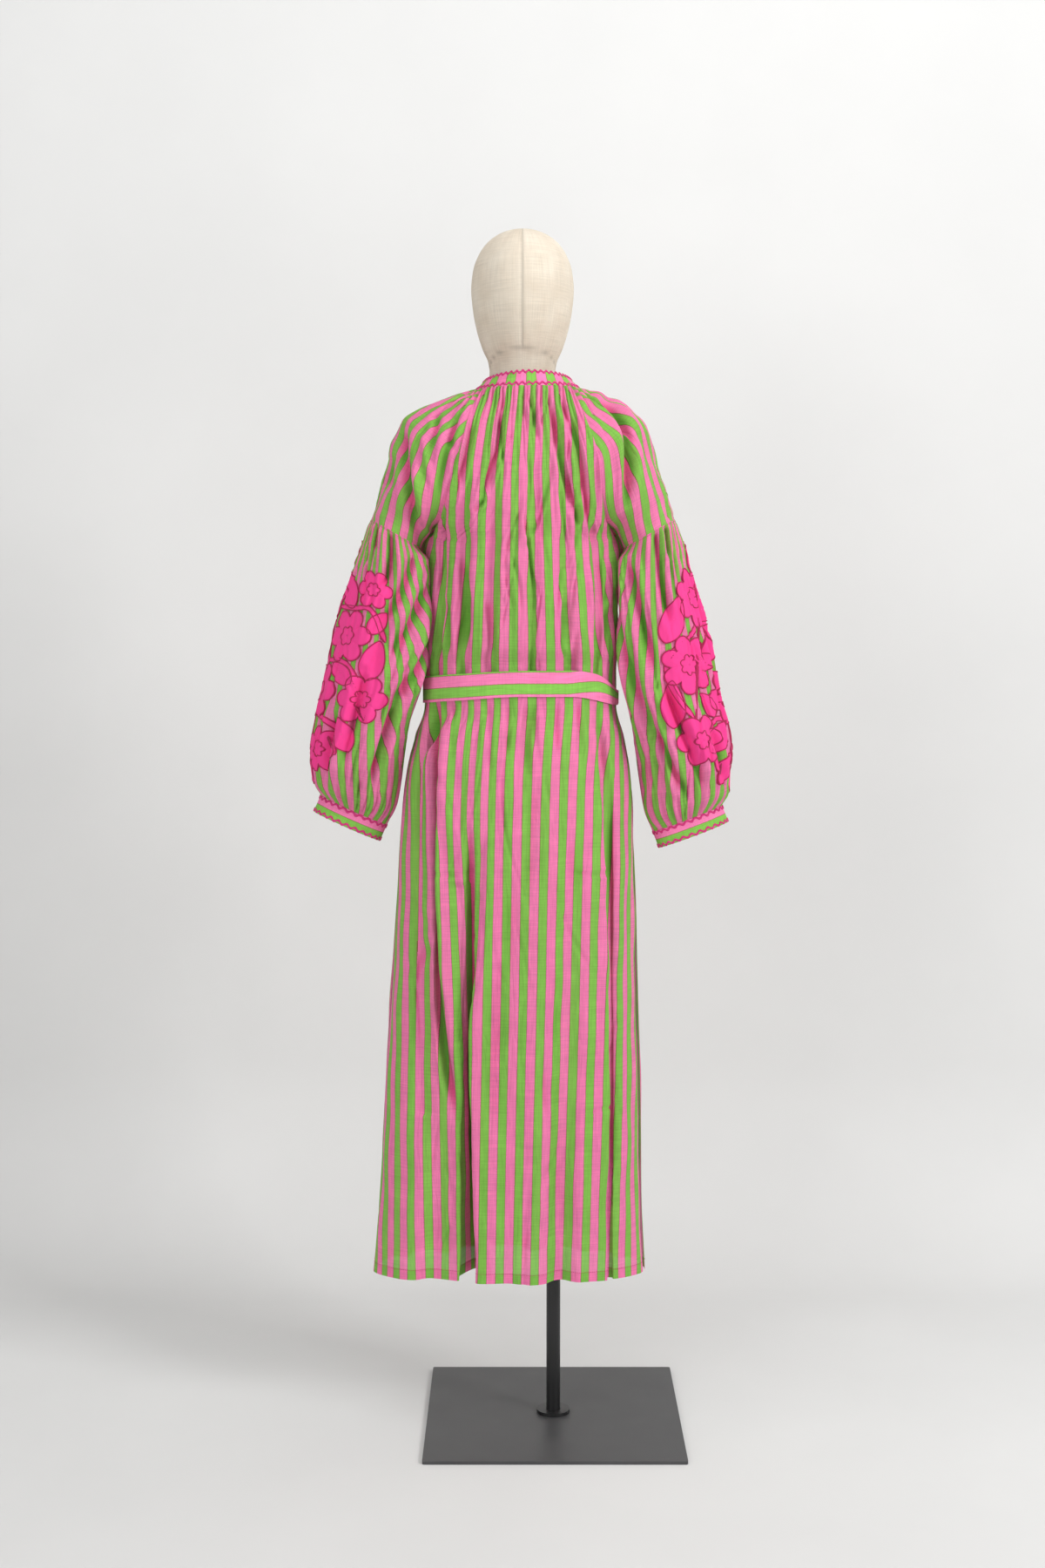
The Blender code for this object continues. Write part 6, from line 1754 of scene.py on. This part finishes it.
class KAFTAN_OT_stage(bpy.types.Operator):
    """Sets up the pale floor that sweeps up behind, the soft lights and the camera"""

    bl_idname = "kaftan.stage"
    bl_label = "Studio"

    def execute(self, context):
        studio_sweep()
        for name, place, size, power in LIGHTS:
            lamp = bpy.data.lights.new(name, "AREA")
            lamp.size, lamp.energy = size, power
            made = bpy.data.objects.new(name, lamp)
            made.location = place
            aim = Vector((GARMENT_X, 0, 0.95)) - made.location
            made.rotation_euler = aim.to_track_quat("-Z", "Y").to_euler()
            bpy.context.collection.objects.link(made)
        world = bpy.data.worlds.new("studio_air")
        world.use_nodes = True
        air = world.node_tree.nodes["Background"].inputs
        air["Color"].default_value, air["Strength"].default_value = (1.0, 1.0, 1.0, 1.0), 0.34
        context.scene.world = world
        context.scene.view_settings.view_transform = "Standard"
        camera = bpy.data.cameras.new("camera")
        camera.sensor_fit, camera.sensor_height, camera.sensor_width = "VERTICAL", 36.0, 36.0
        camera.lens = LENS
        made = bpy.data.objects.new("camera", camera)
        made.location = CAMERA_PLACE
        made.rotation_euler = (math.radians(90 - CAMERA_DOWN), 0, 0)
        bpy.context.collection.objects.link(made)
        context.scene.camera = made
        return {"FINISHED"}


class KAFTAN_PT_panel(bpy.types.Panel):
    """Lists the kaftan's settings and the pieces to build"""

    bl_idname = "KAFTAN_PT_panel"
    bl_label = "Kaftan"
    bl_space_type = "VIEW_3D"
    bl_region_type = "UI"
    bl_category = "Kaftan"

    def draw(self, context):
        for key in KaftanSizes.__annotations__:
            self.layout.prop(context.scene.kaftan, key)
        for piece in PIECES:
            self.layout.operator(piece.bl_idname)


PIECES = (
    KAFTAN_OT_form, KAFTAN_OT_stand, KAFTAN_OT_body, KAFTAN_OT_sleeves, KAFTAN_OT_bands, KAFTAN_OT_belt,
    KAFTAN_OT_stage,
)
CLASSES = (KaftanSizes, *PIECES, KAFTAN_PT_panel)


def register():
    for kind in CLASSES:
        bpy.utils.register_class(kind)
    bpy.types.Scene.kaftan = bpy.props.PointerProperty(type=KaftanSizes)


def unregister():
    del bpy.types.Scene.kaftan
    for kind in reversed(CLASSES):
        bpy.utils.unregister_class(kind)


def main():
    register()
    for name in ("form", "stand", "body", "sleeves", "bands", "belt", "stage"):
        getattr(bpy.ops.kaftan, name)()


if __name__ == "__main__":
    main()
